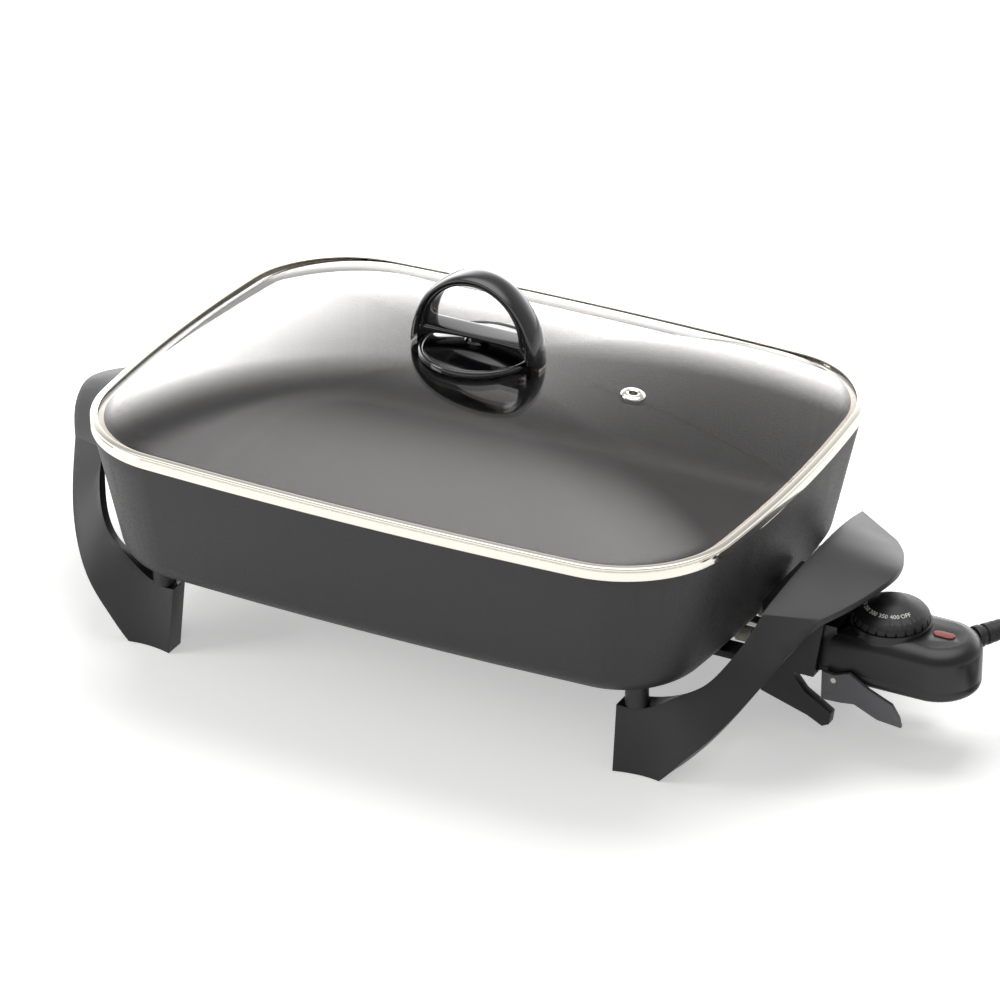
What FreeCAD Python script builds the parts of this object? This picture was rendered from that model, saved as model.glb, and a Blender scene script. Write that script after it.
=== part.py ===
"""Family-size electric skillet with a lift-off glass lid and a plug-in temperature control.

Millimetres. +X runs along the pan's long side towards the control, +Y to the back, +Z up.
The origin is on the worktop, in the middle of the four feet and under the pan's centre.
"""
import FreeCAD, Part
import math
import os
import Sketcher

Vector = FreeCAD.Vector
UP = Vector(0, 0, 1)

# Driving sizes, in millimetres and degrees; the ones that follow from others are formulas
SIZES = {
    # Pan casting
    "rim_half_length": 195.8,
    "rim_half_width": 144.3,
    "rim_corner": 64.8,
    "end_bow_radius": 900.0,
    "side_bow_radius": 2450.0,
    "base_height": 52.0,
    "rim_height": 132.8,
    "wall_draft": 17.0,
    "pan_wall": 3.2,
    "pan_floor": 5.0,
    "base_round": 18.0,
    "inner_round": 12.0,
    # Heating element, cast into a ridge under the pan
    "element_radius": 3.5,
    "element_end_room": 73.8,
    "element_half_length": "=rim_half_length - element_end_room",
    "element_side_room": 60.3,
    "element_half_width": "=rim_half_width - element_side_room",
    "element_turn": 26.0,
    "element_drop": 5.5,
    "ridge_radius": 6.5,
    "ridge_room": 35.8,
    "ridge_end": "=rim_half_length - ridge_room",
    "sheath_stub": 8.0,
    "pin_spacing": 30.0,
    "pin_radius": 2.5,
    "pin_length": 50.0,
    "insulator_radius": 4.6,
    "insulator_length": 9.0,
    "cast_clearance": 0.05,
    # Probe block under the pan
    "probe_radius": 3.0,
    "probe_clearance": 0.3,
    "probe_block_width": 13.0,
    "probe_block_length": 46.0,
    "probe_reach": 42.0,
    # Leg and grip mouldings
    "grip_thickness": 3.6,
    "handle_screw_end": 48.8,
    "handle_screw_x": "=rim_half_length - handle_screw_end",
    "handle_screw_side": 46.8,
    "handle_screw_y": "=rim_half_width - handle_screw_side",
    "boss_radius": 6.5,
    "boss_length": 13.8,
    "leg_top": "=base_height - boss_length",
    "leg_grip": 10.0,
    # Screws
    "screw_radius": 2.1,
    "screw_head_radius": 3.9,
    "screw_head_height": 2.4,
    "screw_bite": 3.0,
    "thread_clearance": 0.05,
    # Guard round the pins
    "guard_gap": 8.0,
    "guard_half_width": 25.0,
    "guard_bottom": "=base_height - 16",
    "guard_top": "=base_height + 24",
    "guard_wall": 2.4,
    "guard_depth": 31.0,
    "guard_arm_y": 38.0,
    "guard_arm_width": 13.0,
    "guard_arm_length": 36.0,
    "guard_arm_height": 4.0,
    "guard_arm_gap": 1.5,
    "guard_lean": 6.0,
    "guard_play": 0.3,
    "tongue_bottom": 7.0,
    "tongue_reach": 11.0,
    "tongue_width": 6.0,
    # Lid
    "seat_gap": 0.2,
    "ring_height": 7.9,
    "ring_overhang": 1.2,
    "ring_skin": 0.9,
    "ring_top_width": 4.0,
    "ring_bottom_width": 8.0,
    "ring_lip_depth": 6.0,
    "ring_lip_width": 1.2,
    "glass_thickness": 4.0,
    "glass_play": 0.1,
    "dome_rise": 31.5,
    "dome_power": 2.7,
    "glass_flat": 4.4,
    "vent_x": 94.0,
    "vent_y": 2.0,
    "vent_radius": 2.6,
    "eyelet_barrel": 3.6,
    "eyelet_flange": 7.0,
    # Lid handle
    "arch_half_length": 40.0,
    "arch_height": 48.5,
    "arch_width": 17.0,
    "arch_side": 11.5,
    "arch_thickness": 5.6,
    "arch_bar_height": 14.0,
    "arch_under_rise": 7.0,
    "disc_radius": 33.0,
    "disc_thickness": 4.0,
    "disc_crown": 8.0,
    "hub_radius": 7.5,
    "arch_round": 2.6,
    "seal_radius": 11.0,
    "seal_thickness": 1.2,
    "lid_screw_radius": 2.4,
    "lid_screw_head": 5.0,
    "lid_screw_bite": 4.0,
    "washer_radius": 9.0,
    "washer_thickness": 1.2,
    # Plug-in control
    "control_room": 30.2,
    "control_front": "=rim_half_length + control_room",
    "control_half_width": 24.0,
    "control_lobe_x": "=control_front + 54",
    "control_bottom": "=base_height - 16",
    "parting_height": "=base_height - 9",
    "control_top": "=base_height + 14.5",
    "shell_wall": 2.2,
    "shell_shoulder": 9.0,
    "shell_keel": 4.5,
    "nose_length": 27.0,
    "nose_half_width": 21.5,
    "nose_bottom": "=base_height - 12.6",
    "nose_top": "=base_height + 16",
    "socket_radius": 4.0,
    "socket_clearance": 0.3,
    "socket_length": 32.0,
    "dial_x": "=control_front + 26",
    "dial_radius": 21.3,
    "dial_height": 12.0,
    "dial_skirt": 6.0,
    "dial_top_radius": 8.0,
    "dial_gap": 0.35,
    "pedestal_height": "=base_height + 16.9",
    "spindle_radius": 2.5,
    "spindle_clearance": 0.05,
    "lens_x": "=control_front + 57",
    "lens_half_length": 6.2,
    "lens_half_width": 2.7,
    "lens_proud": 0.8,
    "lens_play": 0.1,
    "lens_flange": 1.0,
    "lamp_radius": 2.6,
    "lamp_length": 12.0,
    "lamp_gap": 0.3,
    "resistor_radius": 1.2,
    "resistor_length": 6.0,
    "control_screw_radius": 1.5,
    "control_screw_head": 2.8,
    "control_screw_head_height": 2.0,
    "control_screw_bite": 8.0,
    "control_post_radius": 3.4,
    "front_post_x": "=control_front + 16",
    "front_post_y": 17.0,
    "rear_post_x": "=control_front + 66",
    "rear_post_y": -8.0,
    "dial_ticks": 24,
    "tick_width": 1.2,
    "tick_depth": 0.9,
    "spindle_low": "=base_height + 1.6",
    "probe_tip_gap": 2.0,
    "frame_plate": 1.2,
    "frame_half_width": 7.0,
    "frame_wing_x": 6.0,
    "frame_wing_y": 20.6,
    "frame_end": "=control_front + 44",
    "flange_top": "=base_height + 0",
    "stack_x": "=control_front + 38",
    "stack_radius": 4.0,
    "stack_rivet_radius": 1.2,
    "lower_spacer_height": 4.0,
    "upper_spacer_height": 3.0,
    "contact_arm_plate": 0.6,
    "blade_plate": 0.8,
    "arm_start": "=control_front + 7",
    "arm_half_width": 3.0,
    "lead_radius": 1.1,
    "lead_gap": 1.3,
    # Release lever
    "lever_pivot_x": "=control_front + 4.5",
    "lever_pivot_z": "=base_height - 13.8",
    "lever_plate": 2.5,
    "lever_gap": 0.4,
    "lever_pin_radius": 1.6,
    "lever_pin_inset": 5.0,
    "lever_web_x": "=control_front - 2",
    "lever_web_length": 19.0,
    "lever_web_bottom": "=base_height - 23",
    "lever_web_height": 3.0,
    "lever_fit": 0.05,
    # Cord, strain relief and plug
    "cord_radius": 3.5,
    "cord_gap": 0.65,
    "relief_angle": 60.0,
    "relief_height": "=base_height + 5",
    "relief_length": 38.0,
    "relief_root_radius": 6.4,
    "relief_tip_radius": 4.7,
    "coil_side_x": "=control_front + 187",
    "coil_y": 51.0,
    "coil_start_radius": 39.125,
    "coil_climb_draw": 0.6,
    "coil_lift": 1.0,
    "coil_lead": 14.0,
    "coil_tail": 32.0,
    "tie_width": 6.0,
    "tie_thickness": 0.7,
    "tie_gap": 0.2,
    "plug_length": 42.0,
    "plug_half_width": 12.0,
    "plug_half_height": 11.7,
    "plug_sleeve": 20.0,
    "blade_length": 17.0,
    "blade_width": 6.4,
    "blade_thickness": 1.5,
    "blade_spacing": 12.7,
}

doc = FreeCAD.newDocument("ElectricSkillet")


class Size:
    """A length together with the sheet expression that works it out."""

    def __init__(self, value, text):
        self.value = float(value)
        self.text = text

    def __float__(self):
        return self.value

    def __add__(self, other):
        other = as_size(other)
        return Size(self.value + other.value, "(%s + %s)" % (self.text, other.text))

    def __sub__(self, other):
        other = as_size(other)
        return Size(self.value - other.value, "(%s - %s)" % (self.text, other.text))

    def __mul__(self, other):
        other = as_size(other)
        return Size(self.value * other.value, "(%s * %s)" % (self.text, other.text))

    def __truediv__(self, other):
        other = as_size(other)
        return Size(self.value / other.value, "(%s / %s)" % (self.text, other.text))

    def __pow__(self, other):
        other = as_size(other)
        return Size(self.value ** other.value, "(%s ^ %s)" % (self.text, other.text))

    def __neg__(self):
        return as_size(0) - self

    def __radd__(self, other):
        return as_size(other) + self

    def __rsub__(self, other):
        return as_size(other) - self

    def __rmul__(self, other):
        return as_size(other) * self


def as_size(number):
    """Plain number or Size, as a Size."""
    if isinstance(number, Size):
        return number
    return Size(number, repr(float(number)))


def make_sheet():
    """Spreadsheet with one named cell for each driving size."""
    sheet = doc.addObject("Spreadsheet::Sheet", "Sizes")
    for row, (alias, value) in enumerate(SIZES.items(), start=1):
        cell = "B%d" % row
        sheet.set("A%d" % row, alias)
        sheet.set(cell, str(value))
        sheet.setAlias(cell, alias)
    doc.recompute()
    return sheet


SHEET = make_sheet()


def dim(alias):
    """Driving size by name, as its value in the sheet and its expression."""
    return Size(SHEET.get(alias), "Sizes." + alias)


# Helpers for bodies and sketches

def new_body(label):
    body = doc.addObject("PartDesign::Body", label)
    body.Label = label
    return body


def new_sketch(body, role, lift=0):
    """Sketch on one of the body's own origin planes, raised along the plane's normal."""
    planes = [item for item in body.Origin.OriginFeatures if item.Role == role]
    sketch = body.newObject("Sketcher::SketchObject", body.Name + "_sketch")
    sketch.AttachmentSupport = [(planes[0], "")]
    sketch.MapMode = "FlatFace"
    sketch.setExpression("AttachmentOffset.Base.z", as_size(lift).text)
    return sketch


def pin_point(sketch, item, point, x, y):
    """Fixes a point of a sketch at x and y."""
    for kind, place in (("DistanceX", as_size(x)), ("DistanceY", as_size(y))):
        number = sketch.addConstraint(Sketcher.Constraint(kind, item, point, place.value))
        sketch.setExpression("Constraints[%d]" % number, place.text)


def polygon(sketch, corners):
    """Closed outline of straight lines through the corners."""
    first = sketch.GeometryCount
    points = [Vector(float(x), float(y), 0) for x, y in corners]
    count = len(points)
    for index in range(count):
        line = Part.LineSegment(points[index], points[(index + 1) % count])
        sketch.addGeometry(line, False)
    for index in range(count):
        following = first + (index + 1) % count
        sketch.addConstraint(Sketcher.Constraint("Coincident", first + index, 2, following, 1))
    for index, (x, y) in enumerate(corners):
        pin_point(sketch, first + index, 1, x, y)


def box_outline(sketch, low_x, high_x, low_y, high_y):
    polygon(sketch, [(low_x, low_y), (high_x, low_y), (high_x, high_y), (low_x, high_y)])


def circle(sketch, x, y, radius):
    radius = as_size(radius)
    centre = Vector(float(x), float(y), 0)
    item = sketch.addGeometry(Part.Circle(centre, UP, radius.value), False)
    pin_point(sketch, item, 3, x, y)
    number = sketch.addConstraint(Sketcher.Constraint("Radius", item, radius.value))
    sketch.setExpression("Constraints[%d]" % number, radius.text)


def pad(body, sketch, length, backwards=False, middle=False):
    feature = body.newObject("PartDesign::Pad", body.Name + "_pad")
    feature.Profile = sketch
    feature.setExpression("Length", as_size(length).text)
    feature.Reversed = backwards
    feature.Midplane = middle
    doc.recompute()
    return feature


def pocket(body, sketch, length, backwards=False, middle=False):
    """Cut from a sketch, which has to take material away."""
    before = body.Tip.Shape.Volume
    feature = body.newObject("PartDesign::Pocket", body.Name + "_pocket")
    feature.Profile = sketch
    feature.setExpression("Length", as_size(length).text)
    feature.Reversed = backwards
    feature.Midplane = middle
    doc.recompute()
    if feature.Shape.Volume >= before - 1e-6:
        raise ValueError("a pocket of %s cuts nothing" % body.Label)
    return feature


def revolve(body, sketch, axis="V_Axis"):
    feature = body.newObject("PartDesign::Revolution", body.Name + "_turned")
    feature.Profile = sketch
    feature.ReferenceAxis = (sketch, [axis])
    feature.Angle = 360
    doc.recompute()
    return feature


def edges_where(shape, test):
    """Names of the edges whose middle point passes the test."""
    names = []
    for number, edge in enumerate(shape.Edges, start=1):
        middle = edge.valueAt((edge.FirstParameter + edge.LastParameter) / 2)
        if test(middle, edge):
            names.append("Edge%d" % number)
    return names


def round_edges(body, radius, test):
    base = body.Tip
    feature = body.newObject("PartDesign::Fillet", body.Name + "_round")
    feature.Base = (base, edges_where(base.Shape, test))
    feature.setExpression("Radius", as_size(radius).text)
    doc.recompute()
    return feature


def at_height(height):
    """Test for edges that lie level at one height."""
    level = float(height)

    def test(middle, edge):
        box = edge.BoundBox
        return abs(box.ZMin - level) < 0.01 and abs(box.ZMax - level) < 0.01
    return test


def place(item, x=0, y=0, z=0):
    for axis, value in (("x", x), ("y", y), ("z", z)):
        item.setExpression("Placement.Base." + axis, as_size(value).text)


def solid_piece(label, shape):
    """Sub-part whose shape is worked out by this file's own functions."""
    item = doc.addObject("Part::Feature", label)
    item.Label = label
    item.Shape = shape
    return item


# Rounded outline with bowed sides, used by the pan, the lid's ring and the glass

def corner_centre():
    """Centre of the outline's corner arc in the quarter where x and y are positive."""
    end_x = float(dim("rim_half_length") - dim("end_bow_radius"))
    side_y = float(dim("rim_half_width") - dim("side_bow_radius"))
    reach_end = float(dim("end_bow_radius") - dim("rim_corner"))
    reach_side = float(dim("side_bow_radius") - dim("rim_corner"))
    span = math.hypot(end_x, side_y)
    along = (reach_end ** 2 - reach_side ** 2 + span ** 2) / (2 * span)
    across = math.sqrt(reach_end ** 2 - along ** 2)
    to_side = Vector(-end_x / span, side_y / span, 0)
    left = Vector(-to_side.y, to_side.x, 0)
    first = Vector(end_x, 0, 0) + to_side * along + left * across
    second = Vector(end_x, 0, 0) + to_side * along - left * across
    return first if first.x + first.y > second.x + second.y else second


def outline_arcs(inset):
    """The outline's eight arcs as (centre, radius, start angle, end angle), from the right end."""
    corner = corner_centre()
    end = Vector(float(dim("rim_half_length") - dim("end_bow_radius")), 0, 0)
    side = Vector(0, float(dim("rim_half_width") - dim("side_bow_radius")), 0)
    to_end = corner - end
    to_side = corner - side
    low = math.atan2(to_end.y, to_end.x)
    high = math.atan2(to_side.y, to_side.x)
    radius_end = dim("end_bow_radius") - inset
    radius_side = dim("side_bow_radius") - inset
    radius_corner = dim("rim_corner") - inset
    half, turn = math.pi, 2 * math.pi
    return [
        (end, radius_end, -low, low),
        (corner, radius_corner, low, high),
        (side, radius_side, high, half - high),
        (Vector(-corner.x, corner.y, 0), radius_corner, half - high, half - low),
        (-end, radius_end, half - low, half + low),
        (-corner, radius_corner, half + low, half + high),
        (-side, radius_side, half + high, turn - high),
        (Vector(corner.x, -corner.y, 0), radius_corner, turn - high, turn - low),
    ]


def outline(sketch, inset):
    """Draws the outline in a sketch, parallel to the rim and inset from it."""
    inset = as_size(inset)
    first = sketch.GeometryCount
    arcs = outline_arcs(inset)
    for centre, radius, start, end in arcs:
        ring = Part.Circle(centre, UP, radius.value)
        sketch.addGeometry(Part.ArcOfCircle(ring, start, end), False)
    for index, (centre, radius, start, end) in enumerate(arcs):
        following = first + (index + 1) % len(arcs)
        sketch.addConstraint(Sketcher.Constraint("Tangent", first + index, 2, following, 1))
        number = sketch.addConstraint(
            Sketcher.Constraint("Radius", first + index, radius.value))
        sketch.setExpression("Constraints[%d]" % number, radius.text)
    end_x = dim("rim_half_length") - dim("end_bow_radius")
    side_y = dim("rim_half_width") - dim("side_bow_radius")
    pin_point(sketch, first, 3, end_x, 0)
    pin_point(sketch, first + 2, 3, 0, side_y)
    pin_point(sketch, first + 4, 3, -end_x, 0)
    pin_point(sketch, first + 6, 3, 0, -side_y)


def outline_wire(inset, height, scale=1.0):
    """The same outline as a wire at a height, drawn in towards the centre by a scale."""
    edges = []
    for centre, radius, start, end in outline_arcs(as_size(inset)):
        middle = centre * scale + Vector(0, 0, height)
        ring = Part.Circle(middle, UP, float(radius) * scale)
        edges.append(Part.ArcOfCircle(ring, start, end).toShape())
    return Part.Wire(edges)


# Pan casting and what is cast into it or screwed to it

def element_height():
    """Height of the element's centre line above the worktop."""
    return dim("base_height") - dim("element_drop")


def element_route(end):
    """Centre line of the element: one loop that leaves the pan at the right, twice."""
    z = float(element_height())
    far_x, far_y = float(dim("element_half_length")), float(dim("element_half_width"))
    turn, pin_y = float(dim("element_turn")), float(dim("pin_spacing")) / 2
    small = float(dim("pin_spacing"))
    slant = math.sqrt(0.5)

    def bend(start, middle, finish):
        return Part.Arc(Vector(*start, z), Vector(*middle, z), Vector(*finish, z)).toShape()

    def line(start, finish):
        return Part.LineSegment(Vector(*start, z), Vector(*finish, z)).toShape()

    inner_y = pin_y + small
    near_x = far_x - turn
    near_y = far_y - turn
    edges = [line((end, pin_y), (far_x + small, pin_y))]
    edges.append(bend((far_x + small, pin_y),
                      (far_x + small * (1 - slant), inner_y - small * slant),
                      (far_x, inner_y)))
    edges.append(line((far_x, inner_y), (far_x, near_y)))
    edges.append(bend((far_x, near_y), (near_x + turn * slant, near_y + turn * slant),
                      (near_x, far_y)))
    edges.append(line((near_x, far_y), (-near_x, far_y)))
    edges.append(bend((-near_x, far_y), (-near_x - turn * slant, near_y + turn * slant),
                      (-far_x, near_y)))
    half = [edge.copy() for edge in edges]
    mirrored = [edge.mirror(Vector(0, 0, 0), Vector(0, 1, 0)) for edge in reversed(half)]
    back = [line((-far_x, near_y), (-far_x, -near_y))]
    return Part.Wire(Part.__sortEdges__(half + back + mirrored))


def swept(route, radius):
    """Round bar of a radius along a route of lines and tangent arcs."""
    first = route.OrderedEdges[0]
    start = first.valueAt(first.FirstParameter)
    along = first.tangentAt(first.FirstParameter)
    if (start - route.OrderedVertexes[0].Point).Length > 1e-6:
        start = first.valueAt(first.LastParameter)
        along = first.tangentAt(first.LastParameter)
    section = Part.Wire(Part.makeCircle(radius, start, along))
    return route.makePipeShell([section], True, False)


def handle_screw_places():
    x, y = dim("handle_screw_x"), dim("handle_screw_y")
    return [(x, y), (x, -y), (-x, y), (-x, -y)]


def guard_back():
    """Inner face of the guard's back wall, clear of the pan's end."""
    return dim("rim_half_length") - dim("wall_draft") + dim("guard_gap")


def guard_screw_places():
    x = guard_back() - dim("guard_arm_length") + dim("guard_arm_width") / 2
    return [(x, dim("guard_arm_y")), (x, -dim("guard_arm_y"))]


def pin_line():
    """The two places, across and up, of the terminal pins."""
    return [(dim("pin_spacing") / 2, element_height()),
            (-dim("pin_spacing") / 2, element_height())]


def element_end():
    """Where the element's sheath stops and its ceramic collars start."""
    return dim("ridge_end") + dim("sheath_stub")


def taper(feature):
    """Leans a pad's or pocket's sides inwards by the wall's draft."""
    drop = dim("rim_height") - dim("base_height")
    feature.setExpression("TaperAngle", "-atan(%s)" % (dim("wall_draft") / drop).text)
    doc.recompute()


def combine(kind, label, base, tool):
    """Boolean of two objects under a label of its own."""
    item = doc.addObject(kind, label)
    item.Label = label
    item.Base = base
    item.Tool = tool
    doc.recompute()
    return item


def box(label, x, y, z, length, width, height):
    """Block with its lowest corner at x, y and z."""
    item = doc.addObject("Part::Box", label)
    item.Label = label
    for name, value in (("Length", length), ("Width", width), ("Height", height)):
        item.setExpression(name, as_size(value).text)
    place(item, x, y, z)
    doc.recompute()
    return item


def fuse_all(label, pieces):
    item = doc.addObject("Part::MultiFuse", label)
    item.Label = label
    item.Shapes = pieces
    doc.recompute()
    return item


def rods_along_x(label, places, radius, start, length, bore=None):
    """Round bars or tubes along X, each at a place given across and up."""
    body = new_body(label)
    body.AllowCompound = True
    sketch = new_sketch(body, "YZ_Plane", start)
    for y, z in places:
        circle(sketch, y, z, radius)
        if bore is not None:
            circle(sketch, y, z, bore)
    pad(body, sketch, length)
    return body


def rods_upright(label, places, radius, start, length, bore=None):
    """Round bars or tubes along Z, each at a place given along and across."""
    body = new_body(label)
    body.AllowCompound = True
    sketch = new_sketch(body, "XY_Plane", start)
    for x, y in places:
        circle(sketch, x, y, radius)
        if bore is not None:
            circle(sketch, x, y, bore)
    pad(body, sketch, length)
    return body


def screws_upright(label, places, head_bottom, length):
    """Pan head screws that point up, with the underside of each head on top of it."""
    body = rods_upright(label, places, dim("screw_head_radius"), head_bottom,
                        dim("screw_head_height"))
    shanks = new_sketch(body, "XY_Plane", head_bottom + dim("screw_head_height"))
    for x, y in places:
        circle(shanks, x, y, dim("screw_radius"))
    pad(body, shanks, length)
    recess = new_sketch(body, "XY_Plane", head_bottom)
    for x, y in places:
        circle(recess, x, y, dim("screw_radius") / 2)
    pocket(body, recess, dim("screw_head_height") / 2, backwards=True)
    return body


def bowl(label, inset, bottom, rounding):
    """Solid with the pan's leaning sides and a rounded bottom edge."""
    body = new_body(label)
    rim = new_sketch(body, "XY_Plane", dim("rim_height"))
    outline(rim, inset)
    taper(pad(body, rim, dim("rim_height") - bottom, backwards=True))
    round_edges(body, rounding, at_height(bottom))
    return body


def make_pan():
    outside = bowl("pan_outside", 0, dim("base_height"), dim("base_round"))
    space = bowl("pan_space", dim("pan_wall"), dim("base_height") + dim("pan_floor"),
                 dim("inner_round"))
    shell = combine("Part::Cut", "pan_shell", outside, space)

    # Block that the control's probe slides into, and bosses for the screws
    inside_floor = dim("base_height") + dim("pan_floor") / 2
    block_low = element_height() - dim("ridge_radius")
    block = box("probe_block", dim("ridge_end") - dim("probe_block_length"),
                -dim("probe_block_width") / 2, block_low, dim("probe_block_length"),
                dim("probe_block_width"), inside_floor - block_low)
    lumps = [block]
    holes = []
    for places, drop in ((handle_screw_places(), dim("base_height") - dim("leg_top")),
                         (guard_screw_places(), dim("guard_arm_gap"))):
        low = dim("base_height") - drop
        lumps.append(rods_upright("screw_bosses", places, dim("boss_radius"), low,
                                  inside_floor - low))
        holes.append(rods_upright("screw_holes", places,
                                  dim("screw_radius") + dim("thread_clearance"),
                                  low, drop + dim("screw_bite")))

    # Ridge round the element, the element's channel and the probe's bore
    ridge_route = element_route(float(dim("ridge_end")))
    ridge = solid_piece("element_ridge", swept(ridge_route, float(dim("ridge_radius"))))
    channel_route = element_route(float(element_end()))
    channel_radius = float(dim("element_radius") + dim("cast_clearance"))
    channel = solid_piece("element_channel", swept(channel_route, channel_radius))
    bore = rods_along_x("probe_bore", [(0, element_height())],
                        dim("probe_radius") + dim("probe_clearance"),
                        dim("ridge_end") - dim("probe_reach"), dim("probe_reach"))
    whole = fuse_all("pan_with_ridge", [shell, ridge] + lumps)
    tools = fuse_all("pan_holes", [channel, bore] + holes)
    return combine("Part::Cut", "pan_body", whole, tools)


def make_heater():
    """Tubular element with its ceramic collars and terminal pins."""
    route = element_route(float(element_end()))
    element = solid_piece("heating_element", swept(route, float(dim("element_radius"))))
    collars = rods_along_x("pin_insulators", pin_line(), dim("insulator_radius"),
                           element_end(), dim("insulator_length"),
                           dim("pin_radius") + dim("cast_clearance"))
    pins = rods_along_x("terminal_pins", pin_line(), dim("pin_radius"), element_end(),
                        dim("pin_length"))
    return [element, collars, pins]


def make_handle_screws():
    head = dim("leg_top") - dim("leg_grip") - dim("screw_head_height")
    reach = dim("base_height") - dim("leg_top") + dim("leg_grip") + dim("screw_bite") / 2
    return screws_upright("handle_screws", handle_screw_places(), head, reach)


def make_guard():
    """Open shroud round the pins, with two arms to the pan and two guide tongues."""
    body = new_body("terminal_guard")
    back, wall, half = guard_back(), dim("guard_wall"), dim("guard_half_width")
    low, high = dim("guard_bottom"), dim("guard_top")
    mouth_low = back + dim("guard_depth")
    mouth_high = mouth_low + dim("guard_lean")
    side = new_sketch(body, "XZ_Plane")
    polygon(side, [(back, low), (mouth_low, low), (mouth_high, high), (back, high)])
    pad(body, side, half * 2, middle=True)
    inside = new_sketch(body, "YZ_Plane", back + wall)
    box_outline(inside, wall - half, half - wall, low + wall, high - wall)
    pocket(body, inside, dim("guard_depth") + dim("guard_lean"), backwards=True)

    arm_top = dim("base_height") - dim("guard_arm_gap")
    arm_low = arm_top - dim("guard_arm_height")
    arm_out = dim("guard_arm_y") + dim("guard_arm_width") / 2
    plate = new_sketch(body, "YZ_Plane", back)
    box_outline(plate, -arm_out, arm_out, low, arm_top)
    pad(body, plate, wall)
    for side_sign in (1, -1):
        arm = new_sketch(body, "XY_Plane", arm_low)
        near = dim("guard_arm_y") * side_sign - dim("guard_arm_width") / 2
        box_outline(arm, back - dim("guard_arm_length"), back + wall,
                    near, near + dim("guard_arm_width"))
        pad(body, arm, dim("guard_arm_height"))

    # Tongues below the mouth that the release lever pushes against
    tip = mouth_low + dim("tongue_reach")
    foot = dim("tongue_bottom")
    drop = low - foot
    corners = [(back, low), (back + wall, low + wall), (mouth_low - 12, low + wall),
               (mouth_low - 11, low - 3), (mouth_low - 5, low - drop * 0.35),
               (tip, foot + 9), (tip - 1, foot + 2), (tip - 5, foot),
               (mouth_low - 3, foot + 4.5), (back, foot + 13)]
    for lift in (half - dim("tongue_width"), -half):
        tongue = new_sketch(body, "XZ_Plane", lift)
        polygon(tongue, corners)
        pad(body, tongue, dim("tongue_width"))

    holes = new_sketch(body, "YZ_Plane", back)
    for y, z in pin_line():
        circle(holes, y, z, dim("insulator_radius") + dim("guard_play"))
    circle(holes, 0, element_height(), dim("probe_radius") + dim("guard_play"))
    pocket(body, holes, wall, backwards=True)
    screw_holes = new_sketch(body, "XY_Plane", arm_low)
    for x, y in guard_screw_places():
        circle(screw_holes, x, y, dim("screw_radius") + dim("guard_play"))
    pocket(body, screw_holes, dim("guard_arm_height"), backwards=True)

    length = dim("guard_arm_height") + dim("guard_arm_gap") + dim("screw_bite") / 2
    screws = screws_upright("guard_screws", guard_screw_places(),
                            arm_low - dim("screw_head_height"), length)
    return [body, screws]


# Legs and grips: each end is one moulded band that stands on the worktop at the front,
# climbs round the pan's corner as it twists flat, and crosses over as the grip

# Stations along the band's front half. Each gives the outer face's lower and upper corner,
# from the rim's end (x), the pan's centre (y, share of the rim's half width) and the
# worktop (z, share of the base height), then the band's thickness
BAND_STATIONS = (
    ((-57.0, 0.765, -0.10), (-58.0, 0.720, 0.735), 13.0),
    ((-33.0, 0.748, -0.05), (-38.0, 0.690, 0.770), 12.0),
    ((-18.0, 0.748, 0.270), (-23.5, 0.676, 0.950), 9.0),
    ((-4.0, 0.725, 0.560), (-12.0, 0.650, 1.080), 7.0),
    ((10.0, 0.655, 0.900), (-2.5, 0.605, 1.290), 5.5),
    ((22.5, 0.540, 1.270), (5.0, 0.530, 1.540), 4.5),
    ((36.5, 0.350, 1.690), (9.0, 0.455, 1.770), 3.6),
)
# The grip from the crease at the band's top to the middle, in the same terms
GRIP_STATIONS = (
    ((36.5, 0.350, 1.690), (9.0, 0.455, 1.770)),
    ((49.5, 0.205, 1.790), (11.5, 0.290, 1.900)),
    ((56.0, 0.090, 1.850), (13.5, 0.130, 1.985)),
    ((58.2, 0.000, 1.870), (14.2, 0.000, 2.010)),
)


def band_point(place):
    """Corner of a station in the right front quarter."""
    x, y, z = place
    return Vector(float(dim("rim_half_length")) + x, -y * float(dim("rim_half_width")),
                  z * float(dim("base_height")))


def band_section(low, high, inward):
    return [low, high, high + inward, low + inward]


def band_solid(sections):
    """Solid whose four long edges run smoothly through the sections' corners."""
    spread = [0.0]
    for before, after in zip(sections, sections[1:]):
        step = sum((after[corner] - before[corner]).Length for corner in range(4)) / 4
        spread.append(spread[-1] + step)
    edges = []
    for corner in range(4):
        curve = Part.BSplineCurve()
        curve.interpolate(Points=[section[corner] for section in sections], Parameters=spread)
        edges.append(curve.toShape())
    faces = [Part.makeRuledSurface(edges[side], edges[(side + 1) % 4]) for side in range(4)]
    for section in (sections[0], sections[-1]):
        faces.append(Part.Face(Part.makePolygon(section + section[:1])))
    shell = Part.makeShell(faces)
    shell.sewShape()
    solid = Part.makeSolid(Part.Shell(shell.Faces))
    if solid.Volume < 0:
        solid.reverse()
    return solid


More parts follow.
